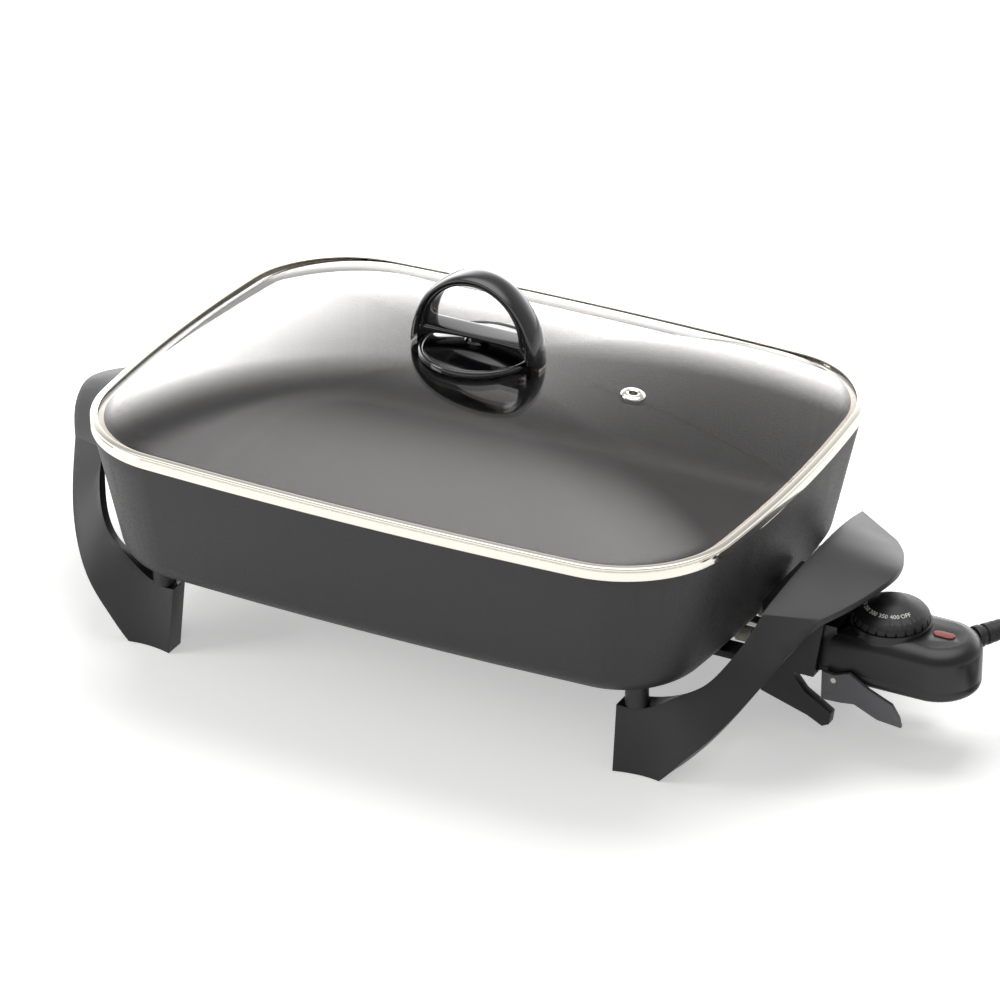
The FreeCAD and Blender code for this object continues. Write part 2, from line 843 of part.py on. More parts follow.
def band_solids():
    """Leg in the right front quarter, and the whole grip."""
    lows = [band_point(low) for low, high, thickness in BAND_STATIONS]
    highs = [band_point(high) for low, high, thickness in BAND_STATIONS]
    last = len(BAND_STATIONS) - 1
    sections = []
    for index, (low, high, thickness) in enumerate(BAND_STATIONS):
        before, after = max(index - 1, 0), min(index + 1, last)
        run = lows[after] + highs[after] - lows[before] - highs[before]
        inward = (highs[index] - lows[index]).cross(run)
        inward.normalize()
        if index == last:
            inward = Vector(0, 0, -1)
        if index < 2:
            inward = Vector(0, 1, 0)
        sections.append(band_section(lows[index], highs[index], inward * thickness))
    below = Vector(0, 0, -float(dim("grip_thickness")))
    plates = [band_section(band_point(low), band_point(high), below)
              for low, high in GRIP_STATIONS]
    beyond = [[Vector(corner.x, -corner.y, corner.z) for corner in plate]
              for plate in reversed(plates[:-1])]
    return band_solid(sections), band_solid(plates + beyond)


def make_handle(label, mirrored):
    leg, grip = band_solids()
    other_leg = leg.mirror(Vector(0, 0, 0), Vector(0, 1, 0))
    whole = grip.fuse(leg).fuse(other_leg).removeSplitter()
    floor = Part.makeBox(900, 900, 90, Vector(-450, -450, -90))
    whole = whole.cut(floor)
    top = float(dim("leg_top"))
    seat = float(dim("base_height"))
    grip_depth = float(dim("leg_grip"))
    for x, y in handle_screw_places()[:2]:
        centre = Vector(float(x), float(y), 0)
        hole = Part.makeCylinder(float(dim("screw_radius") + dim("guard_play")), seat, centre)
        well = Part.makeCylinder(float(dim("screw_head_radius") + dim("guard_play")),
                                 top - grip_depth, centre)
        boss = Part.makeCylinder(float(dim("boss_radius") + dim("guard_play")), seat,
                                 centre + Vector(0, 0, top))
        whole = whole.cut(hole).cut(well).cut(boss)
    if mirrored:
        whole = whole.mirror(Vector(0, 0, 0), Vector(1, 0, 0))
    return solid_piece(label, whole)


# Lid: tempered glass in a steel ring, with a vent and a handle

def ring_bottom():
    return dim("rim_height") + dim("seat_gap")


def ring_top():
    return ring_bottom() + dim("ring_height")


def glass_edge_top():
    return ring_top() - dim("ring_skin") - dim("glass_play")


def glass_top():
    """Height of the glass in the middle of the lid."""
    return glass_edge_top() + dim("dome_rise")


def make_ring():
    body = new_body("lid_rim")
    outer = -dim("ring_overhang")
    band = new_sketch(body, "XY_Plane", ring_bottom())
    outline(band, outer)
    outline(band, outer + dim("ring_bottom_width"))
    pad(body, band, dim("ring_height"))
    slot = dim("glass_thickness") + dim("glass_play") * 2
    top = new_sketch(body, "XY_Plane", ring_top())
    outline(top, outer + dim("ring_top_width"))
    pocket(body, top, dim("ring_skin") + slot)
    groove_sketch = new_sketch(body, "XY_Plane", ring_top() - dim("ring_skin"))
    outline(groove_sketch, outer + dim("ring_skin"))
    pocket(body, groove_sketch, slot)
    lip = new_sketch(body, "XY_Plane", ring_bottom())
    outline(lip, outer + dim("ring_bottom_width") - dim("ring_lip_width"))
    outline(lip, outer + dim("ring_bottom_width"))
    pad(body, lip, dim("ring_lip_depth"), backwards=True)
    return body


# Shares of the dome's half length at which its height is drawn
DOME_STEPS = (1.0, 0.92, 0.8, 0.62, 0.4, 0.14)


def glass_inset():
    return dim("ring_skin") + dim("glass_play") - dim("ring_overhang")


def dome_scale():
    """Share of the glass inside its flat edge, which the ring grips."""
    return 1 - float(dim("glass_flat")) / float(dim("rim_half_width"))


def dome_drop(share):
    """How far the dome has fallen from its flat middle at a share of its half length."""
    power = float(dim("dome_power"))
    flat = DOME_STEPS[-1] ** power
    return float(dim("dome_rise")) * (share ** power - flat) / (1 - flat)


def dome(lowered):
    wires = []
    for share in DOME_STEPS:
        height = float(glass_top()) - dome_drop(share) - lowered
        wires.append(outline_wire(glass_inset(), height, dome_scale() * share))
    return Part.makeLoft(wires, True, False)


def vent_frame():
    """Place and tilt of the vent's axis, square to the glass."""
    half_length = float(dim("rim_half_length") - glass_inset()) * dome_scale()
    share = float(dim("vent_x")) / half_length
    power = float(dim("dome_power"))
    slope = float(dim("dome_rise")) * power * share ** (power - 1) / half_length
    height = float(glass_top()) - dome_drop(share)
    turn = FreeCAD.Rotation(Vector(0, 1, 0), math.degrees(math.atan(slope)))
    return FreeCAD.Placement(Vector(float(dim("vent_x")), float(dim("vent_y")), height), turn)


def make_glass():
    thickness = float(dim("glass_thickness"))
    edge = Part.Face(outline_wire(glass_inset(), float(glass_edge_top()) - thickness))
    slab = edge.extrude(Vector(0, 0, thickness))
    glass = slab.fuse(dome(0)).cut(dome(thickness))
    vent = Part.makeCylinder(float(dim("eyelet_barrel") + dim("cast_clearance")),
                             thickness * 4, Vector(0, 0, -thickness * 2))
    vent = vent.transformGeometry(vent_frame().toMatrix())
    hole = Part.makeCylinder(float(dim("lid_screw_radius") + dim("guard_play")),
                             thickness * 4, Vector(0, 0, float(glass_top()) - thickness * 2))
    return solid_piece("lid_glass", glass.cut(vent).cut(hole))


def make_eyelet():
    body = new_body("vent_eyelet")
    under = -dim("glass_thickness") - dim("glass_play")
    bore, barrel, flange = dim("vent_radius"), dim("eyelet_barrel"), dim("eyelet_flange")
    profile = new_sketch(body, "XZ_Plane")
    polygon(profile, [
        (bore, under - 1), (flange - 1.4, under - 1), (flange - 1.4, under),
        (barrel, under), (barrel, dim("glass_play")), (flange, dim("glass_play")),
        (flange - 0.6, dim("glass_play") + 0.9), (bore + 1.6, dim("glass_play") + 1.5),
        (bore, dim("glass_play") + 0.9)])
    revolve(body, profile)
    body.Placement = vent_frame()
    return body


def handle_seat():
    return glass_top() + dim("seat_gap")


def make_lid_disc():
    body = new_body("lid_handle_base")
    low, thick, crown = handle_seat(), dim("disc_thickness"), dim("disc_crown")
    radius, bore = dim("disc_radius"), dim("lid_screw_radius") + dim("guard_play")
    recess = dim("seal_radius") + dim("guard_play")
    roof = low - dim("seat_gap") + dim("seal_thickness")
    profile = new_sketch(body, "XZ_Plane")
    polygon(profile, [
        (bore, roof), (recess, roof), (recess, low), (radius, low),
        (radius, low + thick - 0.8), (radius - 0.8, low + thick), (radius - 2, low + thick),
        (radius - 2.6, low + thick - 0.6), (dim("hub_radius"), low + crown),
        (bore, low + crown)])
    revolve(body, profile)
    return body


def half_oval(half_length, height, low):
    """Face of half an ellipse that stands on a level line, in the plane y = 0."""
    middle = Vector(0, 0, 0)
    if height > half_length:
        oval = Part.Ellipse(Vector(0, height, 0), Vector(-half_length, 0, 0), middle)
    else:
        oval = Part.Ellipse(middle, half_length, height)
    whole = Part.Face(Part.Wire(oval.toShape()))
    window = Part.makePlane(half_length * 4, height * 2, Vector(-half_length * 2, 0, 0))
    half = whole.common(window)
    half.rotate(Vector(0, 0, 0), Vector(1, 0, 0), 90)
    half.translate(Vector(0, 0, low))
    return half


def make_arch():
    """Arched finger grip whose bar lies across the disc, cut from one oval plate."""
    low = float(handle_seat())
    width = float(dim("arch_width"))
    side = float(dim("arch_side"))
    thick = float(dim("arch_thickness"))
    length, height = float(dim("arch_half_length")), float(dim("arch_height"))
    bar = float(dim("arch_bar_height"))
    across = Vector(0, width, 0)
    back = Vector(0, -width / 2, 0)

    def slice_of(face):
        plate = face.extrude(across)
        plate.translate(back)
        return plate

    plate = slice_of(half_oval(length, height, low))
    opening = slice_of(half_oval(length - side, height - bar - thick, low + bar))
    arch = plate.cut(opening)
    arch = arch.makeFillet(float(dim("arch_round")), [
        edge for edge in arch.Edges
        if abs(abs(edge.BoundBox.YMin) - width / 2) < 0.01 and edge.BoundBox.YLength < 0.01
        and edge.BoundBox.ZMax > low + bar])
    room = Part.makeCylinder(float(dim("disc_radius") + dim("guard_play")),
                             float(dim("disc_thickness") + dim("guard_play")),
                             Vector(0, 0, low))
    under = slice_of(half_oval(float(dim("disc_radius")), float(dim("arch_under_rise")),
                               low + float(dim("disc_thickness"))))
    crown = float(dim("disc_crown"))
    hub = Part.makeCylinder(float(dim("hub_radius")), bar - crown, Vector(0, 0, low + crown))
    thread = Part.makeCylinder(float(dim("lid_screw_radius") + dim("thread_clearance")),
                               float(dim("lid_screw_bite")), Vector(0, 0, low + crown))
    arch = arch.cut(room).cut(under).fuse(hub).cut(thread)
    return solid_piece("lid_handle", arch)


def make_lid_fixings():
    """Seal above the glass, and washer and screw below it."""
    hole = dim("lid_screw_radius") + dim("guard_play")
    middle = [(0, 0)]
    under = glass_top() - dim("glass_thickness")
    seal = rods_upright("lid_handle_seal", middle, dim("seal_radius"), glass_top(),
                        dim("seal_thickness"), hole)
    washer = rods_upright("lid_washer", middle, dim("washer_radius"),
                          under - dim("washer_thickness"), dim("washer_thickness"), hole)
    head_low = under - dim("washer_thickness") - dim("screw_head_height")
    screw = rods_upright("lid_screw", middle, dim("lid_screw_head"), head_low,
                         dim("screw_head_height"))
    shank = new_sketch(screw, "XY_Plane", head_low)
    circle(shank, 0, 0, dim("lid_screw_radius"))
    tip = handle_seat() + dim("disc_crown") + dim("lid_screw_bite") - 1
    pad(screw, shank, tip - head_low)
    return [seal, washer, screw]


def make_lid():
    pieces = [make_glass(), make_ring(), make_eyelet(), make_lid_disc(), make_arch()]
    return pieces + make_lid_fixings()


# Plug-in control: two shells round the thermostat, the dial, the lamp and the sockets

def control_outline(sketch, inset):
    """Flat at the front, straight sides and a round lobe at the far end."""
    inset = as_size(inset)
    front = dim("control_front") + inset
    lobe = dim("control_lobe_x")
    half = dim("control_half_width") - inset
    corners = [(lobe, half), (front, half), (front, -half), (lobe, -half)]
    first = sketch.GeometryCount
    points = [Vector(float(x), float(y), 0) for x, y in corners]
    for start, end in zip(points, points[1:]):
        sketch.addGeometry(Part.LineSegment(start, end), False)
    ring = Part.Circle(Vector(float(lobe), 0, 0), UP, half.value)
    sketch.addGeometry(Part.ArcOfCircle(ring, -math.pi / 2, math.pi / 2), False)
    for index in range(3):
        pin_point(sketch, first + index, 1, *corners[index])
        if index < 2:
            sketch.addConstraint(
                Sketcher.Constraint("Coincident", first + index, 2, first + index + 1, 1))
    sketch.addConstraint(Sketcher.Constraint("Tangent", first + 2, 2, first + 3, 1))
    sketch.addConstraint(Sketcher.Constraint("Coincident", first + 3, 2, first, 1))
    pin_point(sketch, first + 3, 3, lobe, 0)


def hull(label, inset, low, high, rounding, round_at):
    """Solid block of the control's outline with one rounded edge all round."""
    body = new_body(label)
    sketch = new_sketch(body, "XY_Plane", low)
    control_outline(sketch, inset)
    pad(body, sketch, high - low)
    round_edges(body, rounding, at_height(round_at))
    return body


def nose(label, inset, low, high):
    """Block that slides into the guard; its hollow runs on into the control."""
    half = dim("nose_half_width") - inset
    start = dim("control_front") - dim("nose_length") + inset
    end = dim("control_front") + dim("shell_wall") * 1.5
    return box(label, start, -half, low, end - start, half * 2, high - low)


def socket_places():
    return pin_line()


def front_posts():
    x, y = dim("front_post_x"), dim("front_post_y")
    return [(x, y), (x, -y)]


def rear_posts():
    return [(dim("rear_post_x"), dim("rear_post_y"))]


def nose_bores(label):
    """Holes in the nose's front wall for the two sockets and the probe."""
    start = dim("control_front") - dim("nose_length")
    sockets = rods_along_x(label + "_sockets", socket_places(),
                           dim("socket_radius") + dim("lens_play"), start, dim("shell_wall") + 1)
    probe = rods_along_x(label + "_probe", [(0, element_height())],
                         dim("probe_radius") + dim("lens_play"), start, dim("shell_wall") + 1)
    return [sockets, probe]


def frame_top():
    return dim("parting_height") + dim("frame_plate")


def oval_outline(sketch, x, half_length, half_width):
    """Long hole with round ends, lying along X and centred at x."""
    run = half_length - half_width
    first = sketch.GeometryCount
    radius = half_width.value
    low, high = float(x - run), float(x + run)
    right = Part.Circle(Vector(high, 0, 0), UP, radius)
    left = Part.Circle(Vector(low, 0, 0), UP, radius)
    sketch.addGeometry(Part.ArcOfCircle(right, -math.pi / 2, math.pi / 2), False)
    sketch.addGeometry(Part.LineSegment(Vector(high, radius, 0), Vector(low, radius, 0)), False)
    sketch.addGeometry(Part.ArcOfCircle(left, math.pi / 2, math.pi * 3 / 2), False)
    sketch.addGeometry(Part.LineSegment(Vector(low, -radius, 0), Vector(high, -radius, 0)), False)
    for index in range(4):
        sketch.addConstraint(Sketcher.Constraint(
            "Tangent", first + index, 2, first + (index + 1) % 4, 1))
    sketch.addConstraint(Sketcher.Constraint("Equal", first, first + 2))
    pin_point(sketch, first, 3, x + run, 0)
    pin_point(sketch, first + 2, 3, x - run, 0)
    number = sketch.addConstraint(Sketcher.Constraint("Radius", first, radius))
    sketch.setExpression("Constraints[%d]" % number, half_width.text)


def relief_axis(distance):
    """Point on the strain relief's axis at a distance from the lobe's centre."""
    angle = math.radians(float(dim("relief_angle")))
    along = Vector(math.cos(angle), math.sin(angle), 0) * float(distance)
    return Vector(float(dim("control_lobe_x")), 0, float(dim("relief_height"))) + along


def relief_bore():
    """Hole through the lobe's wall for the strain relief's neck."""
    hole = doc.addObject("Part::Cylinder", "relief_bore")
    hole.Label = "relief_bore"
    hole.setExpression("Radius", relief_neck_radius(dim("lens_play")).text)
    hole.setExpression("Height", (dim("control_half_width") * 0.5).text)
    turn = FreeCAD.Rotation(UP, float(dim("relief_angle"))) * FreeCAD.Rotation(Vector(0, 1, 0), 90)
    hole.Placement = FreeCAD.Placement(relief_axis(dim("control_half_width") * 0.75), turn)
    doc.recompute()
    return hole


def relief_neck_radius(extra=0):
    return dim("relief_tip_radius") + extra


def make_upper_shell():
    low, high, wall = dim("parting_height"), dim("control_top"), dim("shell_wall")
    dial_x = dim("dial_x")
    outside = hull("upper_outside", 0, low, high, dim("shell_shoulder"), high)
    inside = hull("upper_inside", wall, low, high - wall, dim("shell_shoulder") - wall,
                  high - wall)
    snout = nose("upper_nose", 0, low, dim("nose_top"))
    snout_space = nose("upper_nose_space", wall, low, dim("nose_top") - wall)
    pedestal = rods_upright("dial_pedestal", [(dial_x, 0)],
                            dim("dial_radius") + 1, high - dim("shell_shoulder"),
                            dim("pedestal_height") - high + dim("shell_shoulder"))
    front = rods_upright("front_posts", front_posts(), dim("control_post_radius"),
                         frame_top(), high - wall / 2 - frame_top())
    rear = rods_upright("rear_post", rear_posts(), dim("control_post_radius"), low,
                        high - wall / 2 - low)
    bushing = rods_upright("spindle_bushing", [(dial_x, 0)], dim("spindle_radius") + wall,
                           high - wall * 3, wall * 3)
    case = combine("Part::Cut", "upper_case", fuse_all("upper_blank", [outside, snout, pedestal]),
                   fuse_all("upper_space", [inside, snout_space]))
    whole = fuse_all("upper_with_posts", [case, front, rear, bushing])
    thread = dim("control_screw_radius") + dim("thread_clearance")
    screws = rods_upright("shell_threads", front_posts() + rear_posts(), thread, low,
                          dim("control_screw_bite") + dim("frame_plate") + 1)
    spindle = rods_upright("spindle_bore", [(dial_x, 0)],
                           dim("spindle_radius") + dim("spindle_clearance"),
                           high - wall * 4, dim("pedestal_height"))
    window = new_body("lens_hole")
    hole = new_sketch(window, "XY_Plane", high - wall * 2)
    oval_outline(hole, dim("lens_x"), dim("lens_half_length") + dim("lens_play"),
                 dim("lens_half_width") + dim("lens_play"))
    pad(window, hole, wall * 3)
    tools = fuse_all("upper_holes", [screws, spindle, window, relief_bore()]
                     + nose_bores("upper_bore"))
    return combine("Part::Cut", "control_upper_shell", whole, tools)


def lever_pivots():
    """Place and outward length of each lever pin, back first."""
    start = dim("control_half_width") - dim("lever_pin_inset")
    end = dim("control_half_width") + dim("lever_gap") + dim("lever_plate")
    return start, end - start


def pivot_rods(label, radius):
    """Bars along Y at the lever's pivot, one on each side of the control."""
    start, length = lever_pivots()
    body = new_body(label)
    body.AllowCompound = True
    for direction, lift in ((False, -(start + length)), (False, start)):
        sketch = new_sketch(body, "XZ_Plane", lift)
        circle(sketch, dim("lever_pivot_x"), dim("lever_pivot_z"), radius)
        pad(body, sketch, length, backwards=direction)
    return body


def make_lower_shell():
    low, high, wall = dim("control_bottom"), dim("parting_height"), dim("shell_wall")
    outside = hull("lower_outside", 0, low, high, dim("shell_keel"), low)
    inside = hull("lower_inside", wall, low + wall, high, dim("shell_keel") - wall, low + wall)
    snout = nose("lower_nose", 0, dim("nose_bottom"), high)
    snout_space = nose("lower_nose_space", wall, dim("nose_bottom") + wall, high)
    posts = front_posts() + rear_posts()
    sleeves = rods_upright("screw_sleeves", posts,
                           dim("control_screw_head") + dim("guard_play") + wall / 2,
                           low + wall / 2, high - low - wall / 2)
    case = combine("Part::Cut", "lower_case", fuse_all("lower_blank", [outside, snout]),
                   fuse_all("lower_space", [inside, snout_space]))
    whole = fuse_all("lower_with_sleeves", [case, sleeves])
    shanks = rods_upright("sleeve_bores", posts,
                          dim("control_screw_radius") + dim("guard_play"), low, high - low)
    heads = rods_upright("sleeve_wells", posts, dim("control_screw_head") + dim("guard_play"),
                         low, dim("control_screw_head_height") + wall / 2)
    pins = pivot_rods("lever_pin_bores", dim("lever_pin_radius") + dim("cast_clearance"))
    tools = fuse_all("lower_holes", [shanks, heads, pins] + nose_bores("lower_bore"))
    return combine("Part::Cut", "control_lower_shell", whole, tools)


def make_control_screws():
    head_low = dim("control_bottom") + dim("shell_wall") / 2
    posts = front_posts() + rear_posts()
    body = rods_upright("control_screws", posts, dim("control_screw_head"), head_low,
                        dim("control_screw_head_height"))
    shanks = new_sketch(body, "XY_Plane", head_low + dim("control_screw_head_height"))
    for x, y in posts:
        circle(shanks, x, y, dim("control_screw_radius"))
    length = (dim("parting_height") + dim("frame_plate") + dim("control_screw_bite")
              - head_low - dim("control_screw_head_height"))
    pad(body, shanks, length)
    return body


def dial_base():
    return dim("pedestal_height") + dim("dial_gap")


def make_dial():
    body = new_body("dial")
    base, skirt, rim = dial_base(), dim("dial_skirt"), dim("dial_radius")
    top, crown, bore = base + dim("dial_height"), dim("dial_top_radius"), dim("spindle_radius")
    wall = dim("shell_wall")
    profile = new_sketch(body, "XZ_Plane")
    polygon(profile, [
        (bore, base + wall), (rim - wall, base + wall), (rim - wall, base), (rim, base),
        (rim - 0.7, base + skirt * 0.6), (rim - 2.6, base + skirt), (crown + 0.8, top - 0.6),
        (crown - 0.8, top), (0, top), (0, top - wall), (bore, top - wall)])
    revolve(body, profile)
    mark = new_sketch(body, "XY_Plane", base)
    box_outline(mark, rim - dim("tick_depth"), rim + 1,
                -dim("tick_width") / 2, dim("tick_width") / 2)
    tick = pocket(body, mark, skirt * 0.8, backwards=True)
    ring = body.newObject("PartDesign::PolarPattern", "dial_ticks")
    ring.Originals = [tick]
    ring.Axis = (mark, ["N_Axis"])
    ring.Angle = 360
    ring.setExpression("Occurrences", dim("dial_ticks").text)
    body.Tip = ring
    place(body, dim("dial_x"))
    doc.recompute()
    return body


def make_spindle():
    top = dial_base() + dim("dial_height") - dim("shell_wall")
    return rods_upright("dial_spindle", [(dim("dial_x"), 0)], dim("spindle_radius"),
                        dim("spindle_low"), top - dim("spindle_low"))


def make_lens():
    body = new_body("lamp_lens")
    top, wall = dim("control_top"), dim("shell_wall")
    inner = top - wall - dim("lens_flange")
    plate = new_sketch(body, "XY_Plane", inner)
    oval_outline(plate, dim("lens_x"), dim("lens_half_length") + dim("lens_flange"),
                 dim("lens_half_width") + dim("lens_flange"))
    pad(body, plate, dim("lens_flange"))
    window = new_sketch(body, "XY_Plane", inner)
    oval_outline(window, dim("lens_x"), dim("lens_half_length"), dim("lens_half_width"))
    pad(body, window, top + dim("lens_proud") - inner)
    round_edges(body, dim("lens_proud") * 0.8, at_height(top + dim("lens_proud")))
    return body


def make_lamp():
    """Neon lamp under the lens and the resistor wired behind it."""
    lens_low = dim("control_top") - dim("shell_wall") - dim("lens_flange")
    z = lens_low - dim("lamp_gap") - dim("lamp_radius")
    start = dim("lens_x") - dim("lamp_length") / 2
    lamp = rods_along_x("neon_lamp", [(0, z)], dim("lamp_radius"), start, dim("lamp_length"))
    resistor = rods_along_x("lamp_resistor", [(0, z)], dim("resistor_radius"),
                            start + dim("lamp_length") + dim("lamp_gap"),
                            dim("resistor_length"))
    return [lamp, resistor]


def probe_end():
    return dim("control_front") + dim("frame_plate")


def make_probe():
    start = dim("ridge_end") - dim("probe_reach") + dim("probe_tip_gap")
    return rods_along_x("probe_rod", [(0, element_height())], dim("probe_radius"), start,
                        probe_end() - start)


def make_sockets():
    start = dim("control_front") - dim("nose_length") + 1
    return rods_along_x("contact_sockets", socket_places(), dim("socket_radius"), start,
                        dim("socket_length"), dim("pin_radius") + dim("socket_clearance"))


def make_frame():
    """Thermostat bracket: upright that holds the probe, and wings clamped by the posts."""
    body = new_body("thermostat_frame")
    low, plate, half = dim("parting_height"), dim("frame_plate"), dim("frame_half_width")
    wing_y, wing_x = dim("frame_wing_y"), dim("frame_wing_x")
    upright = new_sketch(body, "YZ_Plane", dim("control_front"))
    inside_floor = dim("nose_bottom") + dim("shell_wall") + dim("seat_gap")
    box_outline(upright, -half, half, inside_floor, dim("flange_top"))
    pad(body, upright, plate)
    bed = new_sketch(body, "XY_Plane", low)
    box_outline(bed, dim("control_front"), dim("frame_end"), -half, half)
    pad(body, bed, plate)
    wings = new_sketch(body, "XY_Plane", low)
    box_outline(wings, dim("front_post_x") - wing_x, dim("front_post_x") + wing_x,
                -wing_y, wing_y)
    pad(body, wings, plate)
    hole = new_sketch(body, "YZ_Plane", dim("control_front"))
    circle(hole, 0, element_height(), dim("probe_radius") + dim("cast_clearance"))
    pocket(body, hole, plate, backwards=True)
    screws = new_sketch(body, "XY_Plane", low)
    for x, y in front_posts():
        circle(screws, x, y, dim("control_screw_radius") + dim("guard_play"))
    circle(screws, dim("stack_x"), 0, dim("stack_rivet_radius") + dim("cast_clearance"))
    pocket(body, screws, plate, backwards=True)
    return body


def strip(label, start, end, half, low, thickness):
    """Flat spring strip with a hole for the stack's rivet."""
    body = new_body(label)
    shape = new_sketch(body, "XY_Plane", low)
    box_outline(shape, start, end, -half, half)
    circle(shape, dim("stack_x"), 0, dim("stack_rivet_radius") + dim("cast_clearance"))
    pad(body, shape, thickness)
    return body


def make_stack():
    """Contact arm and bimetal blade, kept apart by ceramic and held by one rivet."""
    middle = [(dim("stack_x"), 0)]
    hole = dim("stack_rivet_radius") + dim("cast_clearance")
    arm_low = frame_top() + dim("lower_spacer_height")
    upper_low = arm_low + dim("contact_arm_plate")
    blade_low = upper_low + dim("upper_spacer_height")
    top = blade_low + dim("blade_plate")
    end = dim("stack_x") + dim("stack_radius")
    spacers = rods_upright("ceramic_spacers", middle, dim("stack_radius"), frame_top(),
                           dim("lower_spacer_height"), hole)
    upper = new_sketch(spacers, "XY_Plane", upper_low)
    for x, y in middle:
        circle(upper, x, y, dim("stack_radius"))
        circle(upper, x, y, hole)
    spacers.AllowCompound = True
    pad(spacers, upper, dim("upper_spacer_height"))
    arm = strip("contact_arm", dim("arm_start"), end, dim("arm_half_width"), arm_low,
                dim("contact_arm_plate"))
    blade = strip("bimetal_blade", dim("arm_start"), end, dim("arm_half_width"), blade_low,
                  dim("blade_plate"))
    low = dim("parting_height")
    rivet = rods_upright("stack_rivet", middle, dim("stack_rivet_radius"), low, top - low)
    for level, away in ((low, True), (top, False)):
        head = new_sketch(rivet, "XY_Plane", level)
        circle(head, dim("stack_x"), 0, dim("stack_rivet_radius") * 1.7)
        pad(rivet, head, dim("contact_arm_plate"), backwards=away)
    return [spacers, arm, blade, rivet]


def rounded_route(points, report=None):
    """Straight runs joined by tangent arcs, each as large as its two runs allow."""
    edges = []
    last = points[0]
    for before, corner, after in zip(points, points[1:], points[2:]):
        into, out = corner - before, after - corner
        turn = into.getAngle(out)
        shorter = min(into.Length, out.Length)
        cut = shorter * 0.45
        if report is not None:
            report.append(cut / math.tan(turn / 2))
        into.normalize()
        out.normalize()
        start, end = corner - into * cut, corner + out * cut
        to_centre = out - into
        to_centre.normalize()
        radius = cut / math.tan(turn / 2)
        centre = corner + to_centre * (radius / math.cos(turn / 2))
        edges.append(Part.LineSegment(last, start).toShape())
        edges.append(Part.Arc(start, centre - to_centre * radius, end).toShape())
        last = end
    edges.append(Part.LineSegment(last, points[-1]).toShape())
    return Part.Wire(edges)


# Bends of the inner leads: past the nose's end, across, and above the pins
LEAD_BENDS = {
    1: ((50, 10, 9.5), (32, 11, 5.5), (20, 10, 2.5)),
    -1: ((52, 3, 5.5), (40, -11, 3.5), (22, -11, 1.5)),
}


def make_leads():
    """Two insulated wires from the strain relief to the sockets."""
    front = float(dim("control_front"))
    socket_end = float(dim("control_front") - dim("nose_length") + 1 + dim("socket_length"))
    start_x = socket_end + float(dim("lamp_gap"))
    y, z = float(dim("pin_spacing")) / 2, float(element_height())
    inner = relief_axis(relief_inner_end() - dim("lead_gap"))
    wires = []
    for side, lift in ((1, 1.6), (-1, -1.6)):
        begin = inner + Vector(0, 0, lift)
        bends = [Vector(front + along, across, z + up) for along, across, up in LEAD_BENDS[side]]
        finish = [Vector(front + 13, (y - 4) * side, z + 0.8),
                  Vector(front + 9.5, (y - 1) * side, z + 0.2), Vector(start_x, y * side, z)]
        route = rounded_route([begin] + bends + finish)
        wires.append(swept(route, float(dim("lead_radius"))))
    return solid_piece("inner_leads", Part.makeCompound(wires))


def relief_inner_end():
    """Where the strain relief's flange starts, from the lobe's centre."""
    return dim("control_half_width") - dim("shell_wall") - 5.4


def relief_tip():
    return dim("control_half_width") + dim("guard_play") + dim("relief_length")


def make_relief():
    """Flexible sleeve with a flange inside the shell and a collar outside it."""
    body = new_body("strain_relief")
    neck, root, tip = relief_neck_radius(), dim("relief_root_radius"), dim("relief_tip_radius")
    inner = relief_inner_end()
    out = dim("control_half_width") + dim("guard_play")
    profile = new_sketch(body, "XZ_Plane")
    polygon(profile, [
        (0, inner), (neck + 1, inner), (neck + 1, inner + 2.2), (neck, inner + 2.2),
        (neck, out), (root, out), (root, out + 4), (root - 1.2, out + 4.6),
        (root - 1.2, out + 6), (root - 0.3, out + 6.6), (tip, relief_tip()), (0, relief_tip())])
    revolve(body, profile)
    turn = FreeCAD.Rotation(UP, float(dim("relief_angle"))) * FreeCAD.Rotation(Vector(0, 1, 0), 90)
    body.Placement = FreeCAD.Placement(relief_axis(0), turn)
    return body


# Outline of the lever's side plate, from the pivot (x) and the pivot (z)
LEVER_CORNERS = (
    (-7.0, 4.3), (0.5, 3.3), (8.9, 6.4), (20.9, -0.6), (34.7, -6.5), (39.0, -13.2),
    (40.5, -19.0), (26.3, -17.6), (12.5, -11.6), (4.5, -12.7), (-7.0, -13.1),
)


def make_lever():
    """Fork-shaped lever that pushes the control off the pins, and its two pivot pins."""
    body = new_body("release_lever")
    gap_low = dim("control_half_width") + dim("lever_gap")
    web = new_sketch(body, "XY_Plane", dim("lever_web_bottom"))
    reach = gap_low + dim("lever_plate")
    box_outline(web, dim("lever_web_x"), dim("lever_web_x") + dim("lever_web_length"),
                -reach, reach)
    pad(body, web, dim("lever_web_height"))
    corners = [(dim("lever_pivot_x") + x, dim("lever_pivot_z") + z) for x, z in LEVER_CORNERS]
    for lift in (-reach, gap_low):
        plate = new_sketch(body, "XZ_Plane", lift)
        polygon(plate, corners)
        circle(plate, dim("lever_pivot_x"), dim("lever_pivot_z"),
               dim("lever_pin_radius") + dim("lever_fit"))
        pad(body, plate, dim("lever_plate"))
    pins = pivot_rods("lever_pins", dim("lever_pin_radius"))
    return [body, pins]


def make_control():
    pieces = [make_upper_shell(), make_lower_shell(), make_control_screws(), make_dial(),
              make_spindle(), make_lens()]
    pieces += make_lamp()
    pieces += [make_probe(), make_sockets(), make_frame()]
    pieces += make_stack()
    pieces += [make_leads(), make_relief()]
    return pieces + make_lever()


# Cord: free lead, put-away coil, tie and plug

def floor_height():
    """Height of the cord's centre line where it lies on the worktop."""
    return float(dim("cord_radius") + dim("coil_lift"))


